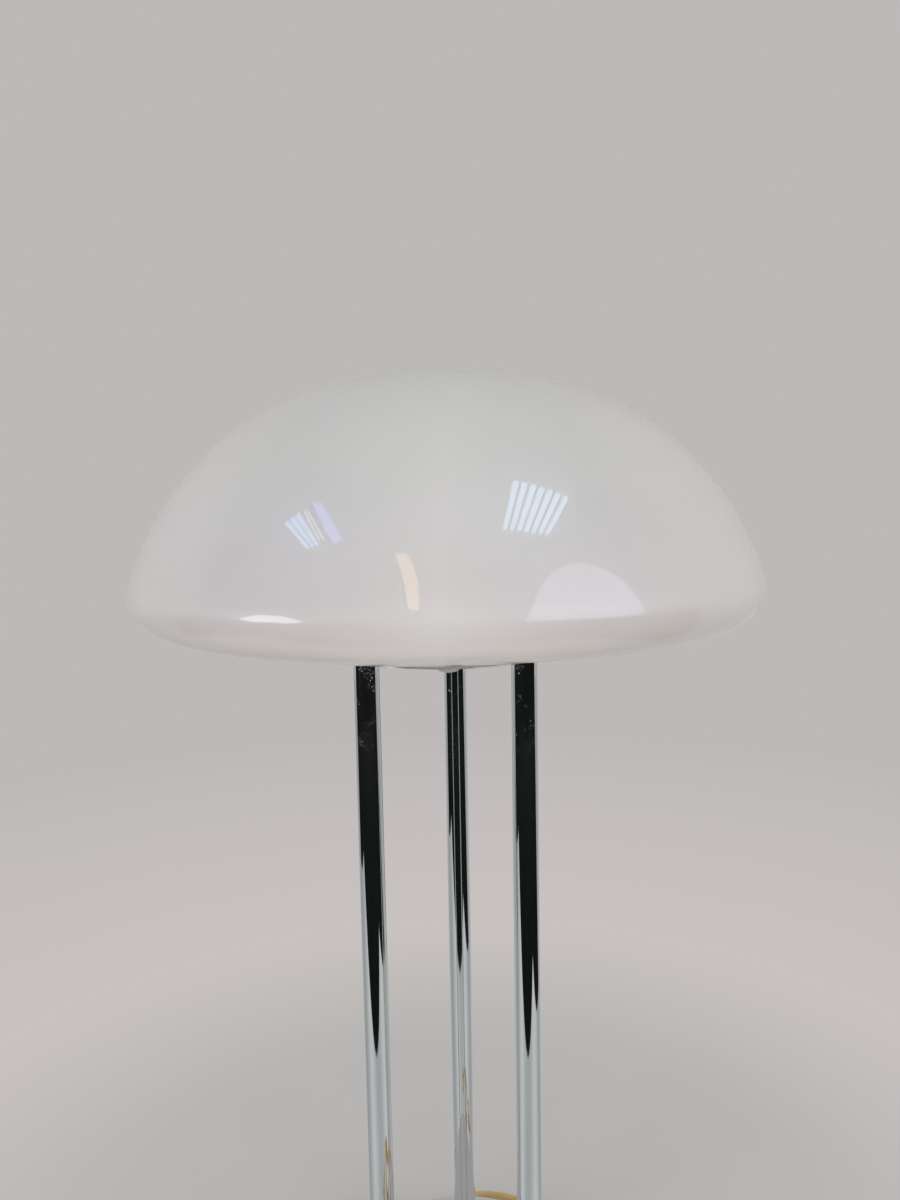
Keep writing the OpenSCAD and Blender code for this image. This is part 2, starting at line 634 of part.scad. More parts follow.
// Cord and what is on it
module cord_lead() {
    color("darkgoldenrod") swept(lead_points, cord_d);
}
module cord_link() {
    color("darkgoldenrod") swept(link_points, cord_d);
}
module cord_tail() {
    color("darkgoldenrod") swept(tail_points, cord_d);
}
module cord_coil() {
    color("darkgoldenrod") swept(coil_path, cord_d, 6, 0);
}
module cord_tie() {
    low_r = coil_radius(tie_ring + 3 * coil_steps) - cord_d / 2 - 0.5;
    high_r = coil_radius(tie_ring) + cord_d / 2 + 0.5;
    top = coil_z + coil_pitch + cord_d / 2 + 0.3;
    width = 9;
    bottom = coil_z - cord_d / 2 - 0.1;
    color("black") translate([coil_at[0], coil_at[1], 0])
        rotate([0, 0, -360 * tie_ring / coil_steps])
        translate([0, width / 2, 0]) rotate([90, 0, 0]) linear_extrude(width) difference() {
            polygon(rounded_box(low_r - tie_t, bottom - tie_t, high_r + tie_t, top + tie_t, 2.4));
            polygon(rounded_box(low_r, bottom, high_r, top, 1.6));
        }
}
function rounded_box(x0, y0, x1, y1, r) = concat(
    arc([x1 - r, y1 - r], r, 0, 90, 4), arc([x0 + r, y1 - r], r, 90, 180, 4),
    arc([x0 + r, y0 + r], r, 180, 270, 4), arc([x1 - r, y0 + r], r, 270, 360, 4));

// Switch: local X runs along the cord
module at_switch() {
    translate(switch_at) rotate([0, 0, -90]) children();
}
module switch_form() {
    hull() for (s = [-1, 1]) {
        translate([s * 9, 0, 0]) cylinder(h = 1, r = 11, $fn = 32);
        translate([s * 9, 0, 3.5]) cylinder(h = switch_h - 6, r = 13.2, $fn = 32);
        translate([s * 9, 0, switch_h - 1]) cylinder(h = 1, r = 11.4, $fn = 32);
        translate([s * switch_half - (s + 1) / 2 * 8, 0, switch_axis_z]) rotate([0, 90, 0])
            cylinder(h = 8, r = 5.4, $fn = 32);
    }
}
module switch_base() {
    color("darkgoldenrod") at_switch() difference() {
        switch_form();
        translate([-40, -20, switch_split]) cube([80, 40, 20]);
        translate([-15, -9.5, 2]) cube([30, 19, 20]);
        for (s = [-1, 1]) translate([s * 20, 0, -1]) {
            cylinder(h = 20, r = 1.6);
            cylinder(h = 3.4, r = 3);
        }
    }
}
module switch_cover() {
    color("darkgoldenrod") at_switch() difference() {
        switch_form();
        translate([-40, -20, -1]) cube([80, 40, switch_split + 1]);
        translate([-15, -9.5, switch_split - 1]) cube([30, 19, switch_h - switch_split - 1]);
        translate([-rocker_r - rest_gap, -6.3, 0]) cube([2 * (rocker_r + rest_gap), 12.6, 30]);
        translate([0, 12, rocker_z]) rotate([90, 0, 0]) cylinder(h = 24, r = 1.25);
        for (s = [-1, 1]) translate([s * 20, 0, 0]) cylinder(h = 14, r = 1.6);
    }
}
module switch_rocker() {
    top = 5.4;
    dip = 3.6;
    a = asin(top / rocker_r);
    outline = concat([[0, dip]], arc([0, 0], rocker_r, 180 - a, 200, 5),
        [[-4, -3.6], [4, -3.6]], arc([0, 0], rocker_r, -20, a, 5));
    color("ivory") at_switch() translate([0, 0, rocker_z]) rotate([0, rocker_tilt, 0])
        rotate([90, 0, 0]) difference() {
            translate([0, 0, -6]) linear_extrude(12) polygon(outline);
            translate([0, 0, -8]) cylinder(h = 16, r = 1.25);
        }
}
module switch_pin() {
    color("silver") at_switch() translate([0, 11, rocker_z]) rotate([90, 0, 0])
        cylinder(h = 22, r = 1.2);
}
module switch_screws() {
    color("silver") at_switch() for (s = [-1, 1]) translate([s * 20, 0, 0]) {
        translate([0, 0, 0.8]) cylinder(h = 1.6, r = 2.7);
        translate([0, 0, 2.4]) cylinder(h = 11, r = 1.45);
    }
}
module switch_terminals() {
    color("goldenrod") at_switch() for (s = [-1, 1]) translate([s * 11 - 3, -3, 2])
        cube([6, 6, 4]);
}

// Plug: local X runs from the sleeve's tip to the pins
module at_plug() {
    translate(plug_at) rotate([0, 0, 180]) children();
}
module plug_body() {
    rib = plug_sleeve / 7;
    color("darkgoldenrod") at_plug() union() {
        rotate([0, 90, 0]) rotate_extrude() polygon(concat([[0, 0], [3.4, 0], [3.8, 0.6]],
            [for (i = [1:5]) let (r = 3.8 + 1.7 * i / 7) each [[r, rib * i],
                [r - 0.6, rib * i], [r - 0.6, rib * (i + 0.4)], [r, rib * (i + 0.4)]]],
            [[5.5, plug_sleeve], [5.5, plug_sleeve + 2], [0, plug_sleeve + 2]]));
        hull() {
            translate([plug_sleeve, 0, 0]) rotate([0, 90, 0]) cylinder(h = 2, r = 6, $fn = 32);
            for (y = [-8.5, 8.5], z = [-3.6, 3.6]) translate([plug_sleeve + 14, y, z])
                rotate([0, 90, 0]) cylinder(h = 2, r = 3.1, $fn = 16);
            for (y = [-14.4, 14.4], z = [-3.7, 3.7]) translate([plug_sleeve + 26, y, z])
                rotate([0, 90, 0]) cylinder(h = plug_len - 26, r = 3, $fn = 16);
        }
    }
}
module plug_pins() {
    color("silver") at_plug() for (s = [-1, 1])
        translate([plug_sleeve + plug_len + 10, s * pin_gap / 2, 0]) rotate([0, 90, 0]) {
            cylinder(h = pin_len - 11, r = pin_d / 2);
            translate([0, 0, pin_len - 11]) cylinder(h = 1, r1 = pin_d / 2, r2 = 1.2);
        }
}
module plug_sleeves() {
    color("black") at_plug() for (s = [-1, 1])
        translate([plug_sleeve + plug_len, s * pin_gap / 2, 0]) rotate([0, 90, 0])
            cylinder(h = 10, r = 1.7);
}

felt_pad();
floor_plate();
floor_screws();
base_weight();
base_cover();
lower_washers();
lower_nuts();
lower_nipples();
cord_relief();
cord_clamp();
clamp_screws();
terminal_block();
terminal_tubes();
terminal_screws();
inner_cord();
supply_wires();
lamp_wires();
holder_lead();
tube_back();
tube_left();
tube_right();
lower_bushes();
upper_bushes();
upper_nipples();
carrier_plate();
upper_washers();
upper_nuts();
rim_gasket();
holder_nipple();
holder_washer();
holder_nut();
nipple_cap();
holder_cap();
holder_insert();
holder_shell();
holder_contact();
holder_sleeve();
bulb_glass();
bulb_cap();
bulb_insulator();
bulb_contact();
glass_shade();
cord_lead();
switch_base();
switch_cover();
switch_rocker();
switch_pin();
switch_screws();
switch_terminals();
cord_link();
cord_coil();
cord_tie();
cord_tail();
plug_body();
plug_pins();
plug_sleeves();
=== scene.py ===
import json
import math

import bmesh
import bpy
from mathutils import Matrix, Vector


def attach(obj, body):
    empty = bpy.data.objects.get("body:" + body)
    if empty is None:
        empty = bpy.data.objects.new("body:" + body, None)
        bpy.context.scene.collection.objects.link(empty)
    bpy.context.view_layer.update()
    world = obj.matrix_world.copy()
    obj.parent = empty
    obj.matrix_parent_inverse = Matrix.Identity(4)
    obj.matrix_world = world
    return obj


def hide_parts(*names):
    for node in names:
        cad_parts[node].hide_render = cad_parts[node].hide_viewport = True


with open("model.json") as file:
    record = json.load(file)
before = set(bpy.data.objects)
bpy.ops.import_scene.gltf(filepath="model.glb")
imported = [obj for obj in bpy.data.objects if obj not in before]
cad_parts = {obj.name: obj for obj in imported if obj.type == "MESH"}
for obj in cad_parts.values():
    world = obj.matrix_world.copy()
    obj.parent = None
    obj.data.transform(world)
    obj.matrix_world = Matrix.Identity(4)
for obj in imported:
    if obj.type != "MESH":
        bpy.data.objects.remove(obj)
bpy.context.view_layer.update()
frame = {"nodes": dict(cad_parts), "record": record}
nodes = frame["nodes"]

MM = 0.001

# Camera: the photograph's, in the model's frame. Angles in degrees, and the focal length in pixels
CAMERA_AT = (0.04452, -0.54553, 0.57996)
CAMERA_YAW = -4.475
CAMERA_PITCH = 6.319
CAMERA_ROLL = -1.088
FOCAL_PX = 870.635
IMAGE_W_PX = 900
IMAGE_H_PX = 1200
SENSOR = 36.0
CLIP = (0.01, 50)  # metres


def camera_axes():
    yaw, pitch, roll = (math.radians(a) for a in (CAMERA_YAW, CAMERA_PITCH, CAMERA_ROLL))
    forward = Vector((math.sin(yaw) * math.cos(pitch), math.cos(yaw) * math.cos(pitch), -math.sin(pitch)))
    level = Vector((math.cos(yaw), -math.sin(yaw), 0))
    up = level.cross(forward)
    right = math.cos(roll) * level + math.sin(roll) * up
    return right, -math.sin(roll) * level + math.cos(roll) * up, forward


def added(name, data):
    """A new object with this data, in the scene."""
    thing = bpy.data.objects.new(name, data)
    bpy.context.scene.collection.objects.link(thing)
    return thing


def make_camera():
    data = bpy.data.cameras.new("camera")
    camera = added("camera", data)
    right, up, forward = camera_axes()
    turn = Matrix((right, up, -forward)).transposed().to_4x4()
    camera.matrix_world = Matrix.Translation(CAMERA_AT) @ turn
    data.sensor_width = SENSOR
    data.lens = FOCAL_PX / IMAGE_H_PX * SENSOR
    data.clip_start, data.clip_end = CLIP
    bpy.context.scene.camera = camera


make_camera()

# Sizes of the CAD model in millimetres, and angles in degrees. COIL_STEPS and COIL_MID count points
LAMP_H = 660
SHADE_R = 190
GLASS_T = 4
SHOULDER_R = 22
SHOULDER_A = 17.4
SIDE_R = 172
CROWN_A = 81.1
UNDER_SLOPE = 11
RIM_R = 70
OPEN_R = 66.5
BASE_R = 100
BASE_H = 30
COVER_T = 1.2
EDGE_R = 8
FLAT_R = 72
COVER_SLOPE = 7
SKIRT_Z = 1
PAN_Z = 493.96
CAP_TOP = 482.26
SLEEVE_Z = PAN_Z + 22
BULB_MID = 597.26
BULB_R = 30
BULB_CAP = (526.76, 548.26)
CORD_D = 5.6
CORD_STEP = 1.8
CORD_RIDGE = 0.09
CORD_TWIST = 26
EXIT_R = 100
EXIT_BEARING = 150
EXIT_Z = 12.1
RELIEF_LEN = 22
SWITCH_AT = (151.5, -24)
SWITCH_HALF = 32
SWITCH_AXIS_Z = 6.5
SWITCH_H = 17.5
SWITCH_SPLIT = 7
ROCKER_Z = 11.5
ROCKER_R = 9.8
ROCKER_TILT = 8
COIL_AT = (116, -100)
COIL_OUT_R = 41
COIL_PITCH = 6.05
COIL_STEPS = 24
COIL_MID = 73
COIL_CLIMB_HALF = 6
COIL_Z = 3.8
COIL_END_RUN = 6
PLUG_AT = (86, -166, 6.85)
PLUG_SLEEVE = 18
PLUG_END = 54
CORD_SIDES = 18
CORD_SHARP = 50

# Points that the cord runs through from the base to the switch, from there to the coil, and on to the plug
LEAD_POINTS = [
    (-115.7, 70.7, 11.2), (-119, 83.2, 8.8), (-115.7, 95.7, 6), (-106.5, 104.8, 3.7),
    (-94, 108.2, 2.8), (-82, 109, 2.8), (-70, 109.5, 2.8), (-57, 110, 2.8), (-44, 110.5, 2.8),
    (-31, 112.5, 2.8), (-19, 116.5, 2.8), (-8, 121, 2.8), (4, 124.5, 2.8), (16.5, 125.5, 2.8),
    (29, 124, 2.8), (41, 120.5, 2.8), (53, 116, 2.8), (65, 110.5, 2.8), (76.5, 104.5, 2.8),
    (88, 98, 2.8), (99, 91, 2.8), (109.5, 83.5, 2.8), (119.5, 75, 2.8), (128.5, 65.5, 3),
    (136.5, 55, 3.6), (143, 43.5, 4.6), (147.5, 31.5, 5.7), (150.5, 19.5, 6.4),
]
LINK_POINTS = [(151.6, -64, 6.2), (153, -73, 5.2), (155.3, -81, 4.2), (156.8, -88, 3.8)]
TAIL_POINTS = [
    (145, -131.7, 9.7), (139, -140.5, 9), (131, -148.7, 8.2), (121, -156, 7.4),
    (109.5, -162, 7), (98, -165.3, 6.9),
]


def coil_points():
    points = []
    for i in range(2 * COIL_MID + 1):
        a = -2 * math.pi * i / COIL_STEPS
        r = COIL_OUT_R - COIL_PITCH * (COIL_MID - abs(i - COIL_MID)) / COIL_STEPS
        s = min(1, max(0, (i - COIL_MID + COIL_CLIMB_HALF) / (2 * COIL_CLIMB_HALF)))
        z = COIL_Z + COIL_PITCH * s * s * (3 - 2 * s)
        points.append((COIL_AT[0] + r * math.cos(a), COIL_AT[1] + r * math.sin(a), z))
    first, last = points[0], points[-1]
    start = (first[0], first[1] + COIL_END_RUN, first[2])
    end = (last[0] + COIL_END_RUN * math.sin(a), last[1] - COIL_END_RUN * math.cos(a), last[2])
    return [start] + points + [end]


def cord_points():
    out = (math.cos(math.radians(EXIT_BEARING)), math.sin(math.radians(EXIT_BEARING)))
    start = [(out[0] * (EXIT_R + d), out[1] * (EXIT_R + d), EXIT_Z) for d in (0, 8, 16, RELIEF_LEN + 1)]
    switch = [(SWITCH_AT[0], SWITCH_AT[1] + d, SWITCH_AXIS_Z) for d in (SWITCH_HALF, 0, -SWITCH_HALF)]
    return start + LEAD_POINTS + switch + LINK_POINTS + coil_points() + TAIL_POINTS + [PLUG_AT]


def smooth_line(points, step):
    """Points about a step apart on a smooth curve through the given ones."""
    points = [Vector(p) for p in points]
    ends = [2 * points[0] - points[1]] + points + [2 * points[-1] - points[-2]]
    line = []
    for a, b, c, d in zip(ends, ends[1:], ends[2:], ends[3:]):
        count = max(1, round((c - b).length / step))
        for k in range(count):
            t = k / count
            line.append((2 * b + t * (c - a) + t * t * (2 * a - 5 * b + 4 * c - d)
                         + t * t * t * (3 * b - a - 3 * c + d)) / 2)
    return line + [points[-1]]


def tube(line, radius, sides):
    """Vertices and faces of a closed tube along a line, without twist. radius gives it at a length and a bearing."""
    vertices, faces, run = [], [], 0.0
    across = None
    for i, at in enumerate(line):
        along = (line[min(i + 1, len(line) - 1)] - line[max(i - 1, 0)]).normalized()
        across = along.orthogonal() if across is None else across - across.dot(along) * along
        across.normalize()
        side = along.cross(across)
        run += (at - line[i - 1]).length if i else 0.0
        for k in range(sides):
            a = 2 * math.pi * k / sides
            vertices.append(at + radius(run, a) * (math.cos(a) * across + math.sin(a) * side))
    for i in range(len(line) - 1):
        for k in range(sides):
            a, b = i * sides + k, i * sides + (k + 1) % sides
            faces.append((a, b, b + sides, a + sides))
    faces.append(tuple(range(sides - 1, -1, -1)))
    faces.append(tuple(range(len(vertices) - sides, len(vertices))))
    return vertices, faces


def make_cord():
    """The cord as one tube. Its two cores are twisted, and show as shallow ridges in the sheath."""
    line = smooth_line(cord_points(), CORD_STEP)

    def radius(run, bearing):
        return CORD_D / 2 - CORD_RIDGE * (1 - math.cos(2 * (bearing + 2 * math.pi * run / CORD_TWIST)))

    vertices, faces = tube(line, radius, CORD_SIDES)
    data = bpy.data.meshes.new("cord")
    data.from_pydata([v * MM for v in vertices], [], faces)
    data.shade_smooth()
    data.set_sharp_from_angle(angle=math.radians(CORD_SHARP))
    cord = added("cord", data)
    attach(cord, "lamp")
    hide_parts("cord_lead", "cord_link", "cord_coil", "cord_tail")
    return cord, line


cord, cord_line = make_cord()


# Materials. Every one takes its variation from the object's own coordinates, in metres.
class Nodes:
    """Builds one material's node tree; each method returns the socket to plug in next."""

    def __init__(self, name, **inputs):
        self.material = bpy.data.materials.new(name)
        self.material.use_nodes = True
        self.tree = self.material.node_tree
        self.shader = self.tree.nodes["Principled BSDF"]
        for key, value in inputs.items():
            self.shader.inputs[key.replace("_", " ")].default_value = value
        self.place = self.add("ShaderNodeTexCoord").outputs["Object"]

    def add(self, kind, **settings):
        node = self.tree.nodes.new(kind)
        for key, value in settings.items():
            setattr(node, key, value)
        return node

    def plug(self, node, values):
        for key, value in values.items():
            if isinstance(value, bpy.types.NodeSocket):
                self.tree.links.new(value, node.inputs[key])
            elif value is not None:
                node.inputs[key].default_value = value
        return node

    def stretched(self, scale):
        node = self.add("ShaderNodeMapping")
        return self.plug(node, {"Vector": self.place, "Scale": scale}).outputs[0]

    def noise(self, scale, detail=3.0, roughness=0.5, at=None, distortion=0.0):
        node = self.add("ShaderNodeTexNoise")
        return self.plug(node, {"Vector": at or self.place, "Scale": scale, "Detail": detail,
                                "Roughness": roughness, "Distortion": distortion}).outputs["Fac"]

    def cells(self, scale):
        node = self.add("ShaderNodeTexVoronoi")
        return self.plug(node, {"Vector": self.place, "Scale": scale}).outputs["Distance"]

    def waves(self, scale, direction, distortion):
        node = self.add("ShaderNodeTexWave", bands_direction=direction)
        return self.plug(node, {"Vector": self.place, "Scale": scale, "Distortion": distortion}).outputs["Fac"]

    def part_of(self, axis):
        node = self.add("ShaderNodeSeparateXYZ")
        return self.plug(node, {"Vector": self.place}).outputs[axis]

    def scaled(self, value, low, high, to_low=0.0, to_high=1.0):
        node = self.add("ShaderNodeMapRange")
        return self.plug(node, {"Value": value, "From Min": low, "From Max": high,
                                "To Min": to_low, "To Max": to_high}).outputs[0]

    def math(self, kind, a, b=None):
        node = self.add("ShaderNodeMath", operation=kind)
        return self.plug(node, {0: a, 1: b}).outputs[0]

    def colours(self, fac, *stops):
        node = self.add("ShaderNodeValToRGB")
        ramp = node.color_ramp
        while len(ramp.elements) < len(stops):
            ramp.elements.new(0.5)
        for element, (place, colour) in zip(ramp.elements, stops):
            element.position = place
            element.color = (*colour, 1)
        return self.plug(node, {"Fac": fac}).outputs["Color"]

    def mixed(self, fac, a, b):
        node = self.add("ShaderNodeMix", data_type="RGBA")
        self.plug(node, {0: fac})
        for index, value in ((6, a), (7, b)):
            if isinstance(value, bpy.types.NodeSocket):
                self.tree.links.new(value, node.inputs[index])
            else:
                node.inputs[index].default_value = (*value, 1)
        return node.outputs[2]

    def bumped(self, height, strength, distance, normal=None):
        node = self.add("ShaderNodeBump")
        return self.plug(node, {"Height": height, "Strength": strength, "Distance": distance,
                                "Normal": normal}).outputs[0]

    def done(self, colour=None, roughness=None, normal=None, **others):
        self.plug(self.shader, {"Base Color": colour, "Roughness": roughness, "Normal": normal,
                                **{k.replace("_", " "): v for k, v in others.items()}})
        return self.material

    def show(self, shader):
        """Puts a shader socket in the place of the plain one."""
        self.tree.links.new(shader, self.tree.nodes["Material Output"].inputs["Surface"])


# The opal glass: heights in metres, colours from the rim upwards, and what is mixed over them. The colours from the
# rim upwards are painted light and shade: paler and warmer towards the rim, darker over the middle
GLASS_Z = (0.49, 0.66)
GLASS_PAINTED_LIGHT_STOPS = (
    (0.0, (0.854, 0.770, 0.705)), (0.1, (0.756, 0.680, 0.634)), (0.2, (0.610, 0.562, 0.548)),
    (0.28, (0.526, 0.498, 0.508)), (0.45, (0.522, 0.502, 0.508)), (0.65, (0.513, 0.512, 0.503)),
    (1.0, (0.530, 0.537, 0.524)),
)
GLASS_CLOUD = (0.602, 0.585, 0.572)
# Painted light: the colour painted on the left and right of the glass, the colour of the painted front glow, and
# where across X that glow is centred, in metres
GLASS_PAINTED_SIDE_LIGHT = (0.685, 0.660, 0.635)
GLASS_PAINTED_GLOW = (0.936, 0.889, 0.866)
PAINTED_GLOW_X = 0.013


def opal_glass():
    n = Nodes("opal_glass", Coat_Weight=1.0, Coat_Roughness=0.015, Coat_IOR=1.5, Subsurface_Weight=0.6,
              Subsurface_Scale=0.02, Subsurface_Radius=(1.0, 0.95, 0.9))
    height = n.scaled(n.part_of("Z"), *GLASS_Z)
    # Painted light and shade by height: the ramp paints the glass paler near the rim and darker above it
    body = n.colours(height, *GLASS_PAINTED_LIGHT_STOPS)
    cloud = n.scaled(n.noise(9.0, 4.0), 0.35, 0.65)
    colour = n.mixed(n.math("MULTIPLY", cloud, 0.35), body, GLASS_CLOUD)
    # Painted light: the glass is painted paler at its left and right and in a soft glowing patch at the front,
    # thinning out upwards; the glass itself is the same all round
    x, y = n.part_of("X"), n.part_of("Y")
    reach = n.math("SQRT", n.math("ADD", n.math("MULTIPLY", x, x), n.math("MULTIPLY", y, y)))
    painted_side_light = n.scaled(n.math("DIVIDE", n.math("ABSOLUTE", x), reach), 0.5, 0.97)
    painted_side_light = n.math("MULTIPLY", painted_side_light, n.scaled(height, 0.18, 0.3, 0.35, 1.0))
    painted_side_light = n.math("MULTIPLY", painted_side_light, n.scaled(reach, 0.06, 0.14))
    colour = n.mixed(painted_side_light, colour, GLASS_PAINTED_SIDE_LIGHT)
    painted_glow = n.scaled(n.math("ABSOLUTE", n.math("ADD", x, -PAINTED_GLOW_X)), 0.06, 0.0)
    painted_glow = n.math("MULTIPLY", painted_glow, n.scaled(y, -0.02, -0.09))
    painted_glow = n.math("MULTIPLY", painted_glow, n.scaled(height, 0.12, 0.33, 0.45, 0.14))
    painted_glow = n.math("MULTIPLY", painted_glow, n.scaled(height, 0.6, 0.95, 1.0, 0.1))
    colour = n.mixed(painted_glow, colour, GLASS_PAINTED_GLOW)
    wave = n.bumped(n.noise(11.0, 1.0), 0.5, 0.0008)
    seeds = n.bumped(n.scaled(n.cells(240.0), 0.0, 0.04), 0.1, 0.0001, wave)
    roughness = n.scaled(n.noise(40.0, 3.0), 0.3, 0.7, 0.32, 0.42)
    return n.done(colour, roughness, seeds, Coat_Normal=wave)


def chrome():
    n = Nodes("chrome", Metallic=1.0)
    height = n.part_of("Z")
    worn = n.scaled(height, 0.40, 0.49)
    spots = n.scaled(n.noise(1500.0, 2.0), 0.64, 0.70)
    patches = n.scaled(n.noise(90.0, 2.0), 0.5, 0.62)
    pits = n.math("MULTIPLY", n.math("MULTIPLY", spots, patches), worn)
    film = n.scaled(n.noise(14.0, 4.0), 0.35, 0.7)
    clean = n.mixed(film, (0.78, 0.79, 0.80), (0.72, 0.735, 0.74))
    colour = n.mixed(pits, clean, (0.16, 0.155, 0.15))
    roughness = n.math("ADD", n.scaled(film, 0.0, 1.0, 0.03, 0.07), n.math("MULTIPLY", pits, 0.4))
    fine = n.bumped(n.noise(60.0, 3.0), 0.05, 0.0002)
    return n.done(colour, roughness, n.bumped(pits, 0.4, 0.0001, fine))


def sheet_metal(name, light, dark, grain=(40.0, 40.0, 900.0), low=0.25, high=0.42, metallic=1.0):
    n = Nodes(name, Metallic=metallic)
    brushed = n.noise(1.0, 4.0, at=n.stretched(grain))
    stain = n.scaled(n.noise(55.0, 4.0), 0.35, 0.7)
    colour = n.mixed(stain, light, dark)
    colour = n.mixed(n.scaled(brushed, 0.3, 0.7, 0.0, 0.25), colour, dark)
    return n.done(colour, n.scaled(brushed, 0.3, 0.7, low, high), n.bumped(brushed, 0.12, 0.0001))


def cast_iron():
    n = Nodes("cast_iron", Metallic=0.6)
    grain = n.noise(420.0, 5.0, 0.7)
    rust = n.scaled(n.noise(30.0, 5.0), 0.55, 0.7)
    colour = n.mixed(rust, n.mixed(grain, (0.05, 0.05, 0.055), (0.10, 0.10, 0.105)), (0.13, 0.06, 0.035))
    return n.done(colour, n.scaled(grain, 0.3, 0.7, 0.55, 0.8), n.bumped(grain, 0.6, 0.0006))


def felt():
    n = Nodes("felt", Sheen_Weight=0.6, Sheen_Roughness=0.6)
    fibres = n.noise(1.0, 5.0, 0.75, at=n.stretched((1500.0, 500.0, 900.0)), distortion=1.2)
    tufts = n.noise(260.0, 4.0, 0.7)
    colour = n.mixed(n.math("MULTIPLY", fibres, tufts), (0.012, 0.030, 0.016), (0.06, 0.11, 0.07))
    return n.done(colour, n.scaled(tufts, 0.3, 0.7, 0.85, 1.0), n.bumped(n.math("ADD", fibres, tufts), 0.8, 0.0005))


def moulded(name, light, dark, low=0.2, high=0.35, texture=0.08, **inputs):
    n = Nodes(name, **inputs)
    cloud = n.noise(25.0, 4.0)
    skin = n.noise(1400.0, 3.0)
    dust = n.scaled(n.noise(160.0, 5.0, 0.7), 0.55, 0.8)
    colour = n.mixed(n.scaled(cloud, 0.3, 0.7), light, dark)
    colour = n.mixed(n.math("MULTIPLY", dust, 0.25), colour, dark)
    return n.done(colour, n.scaled(cloud, 0.3, 0.7, low, high), n.bumped(skin, texture, 0.0002))


def gold_cord():
    n = Nodes("gold_pvc", Coat_Weight=1.0, Coat_Roughness=0.08, Metallic=0.35)
    strands = n.waves(700.0, "DIAGONAL", 2.0)
    cloud = n.noise(60.0, 3.0)
    glints = n.noise(1400.0, 2.0)
    copper = n.mixed(n.math("MULTIPLY", strands, 0.5), (0.62, 0.42, 0.15), (0.44, 0.27, 0.08))
    copper = n.mixed(n.scaled(cloud, 0.3, 0.7, 0.0, 0.4), copper, (0.56, 0.36, 0.12))
    colour = n.mixed(n.scaled(glints, 0.58, 0.72, 0.0, 0.6), copper, (0.86, 0.66, 0.34))
    return n.done(colour, n.scaled(glints, 0.3, 0.7, 0.26, 0.36), n.bumped(strands, 0.06, 0.0001))


def clear_gasket():
    n = Nodes("clear_rubber", Transmission_Weight=0.3, IOR=1.45)
    cloud = n.noise(90.0, 4.0)
    colour = n.mixed(cloud, (0.62, 0.60, 0.54), (0.74, 0.72, 0.66))
    return n.done(colour, n.scaled(cloud, 0.3, 0.7, 0.35, 0.55), n.bumped(n.noise(600.0), 0.1, 0.0001))


def frosted_glass():
    n = Nodes("frosted_glass", Transmission_Weight=0.55, IOR=1.48)
    cloud = n.noise(30.0, 3.0)
    colour = n.mixed(cloud, (0.86, 0.86, 0.84), (0.92, 0.92, 0.91))
    return n.done(colour, n.scaled(cloud, 0.3, 0.7, 0.35, 0.45), n.bumped(n.noise(1200.0), 0.1, 0.0001))


SLOTS = {
    "opal_glass": opal_glass(),
    "frosted_glass": frosted_glass(),
    "chrome": chrome(),
    "zinc_steel": sheet_metal("zinc_steel", (0.62, 0.63, 0.63), (0.47, 0.48, 0.48)),
    "nickel": sheet_metal("nickel", (0.72, 0.69, 0.63), (0.58, 0.55, 0.49), (900.0, 60.0, 60.0), 0.18, 0.3),
    "grey_metal": sheet_metal("grey_metal", (0.66, 0.66, 0.64), (0.54, 0.54, 0.52), (300.0, 300.0, 60.0),
                              0.35, 0.5, 0.5),
    "cap_metal": sheet_metal("cap_metal", (0.70, 0.70, 0.69), (0.58, 0.58, 0.57), (60.0, 60.0, 1200.0), 0.25, 0.38),
    "brass": sheet_metal("brass", (0.76, 0.56, 0.24), (0.55, 0.38, 0.14), (300.0, 300.0, 900.0), 0.22, 0.4),
    "cast_iron": cast_iron(),
    "felt": felt(),
    "gold_pvc": gold_cord(),
    "gold_plastic": moulded("gold_plastic", (0.60, 0.40, 0.13), (0.47, 0.29, 0.085), 0.14, 0.26, 0.06,
                            Coat_Weight=0.4, Coat_Roughness=0.1),
    "white_plastic": moulded("white_plastic", (0.80, 0.79, 0.74), (0.70, 0.68, 0.62), 0.4, 0.6),
    "white_pvc": moulded("white_pvc", (0.74, 0.72, 0.67), (0.62, 0.60, 0.54), 0.4, 0.6),
    "wire_pvc": moulded("wire_pvc", (0.22, 0.11, 0.055), (0.14, 0.065, 0.03), 0.35, 0.5),
    "ivory_plastic": moulded("ivory_plastic", (0.78, 0.72, 0.58), (0.66, 0.59, 0.45), 0.2, 0.36),
    "white_ceramic": moulded("white_ceramic", (0.84, 0.83, 0.80), (0.74, 0.72, 0.67), 0.12, 0.25, 0.04),
    "black_insulator": moulded("black_insulator", (0.02, 0.02, 0.022), (0.008, 0.008, 0.009), 0.08, 0.18, 0.04),
    "black_plastic": moulded("black_plastic", (0.03, 0.03, 0.03), (0.015, 0.015, 0.015), 0.35, 0.5),
    "clear_rubber": clear_gasket(),
}
for part in frame["record"]["subparts"]:
    mesh = nodes[part["node"]].data
    mesh.materials.clear()
    mesh.materials.append(SLOTS[part["material_slot"]])
cord.data.materials.append(SLOTS["gold_pvc"])


# Pieces that replace CAD nodes with the same form and smoother faces. Sizes in millimetres
def cos(degrees):
    return math.cos(math.radians(degrees))


def sin(degrees):
    return math.sin(math.radians(degrees))


def arc(c, r, a0, a1, n, first=0):
    angles = [a0 + (a1 - a0) * i / n for i in range(first, n + 1)]
    return [(c[0] + r * cos(a), c[1] + r * sin(a)) for a in angles]


def on_axis(points):
    """The points with those that nearly touch the axis set on it."""
    return [(r if r > 1e-4 else 0.0, z) for r, z in points]


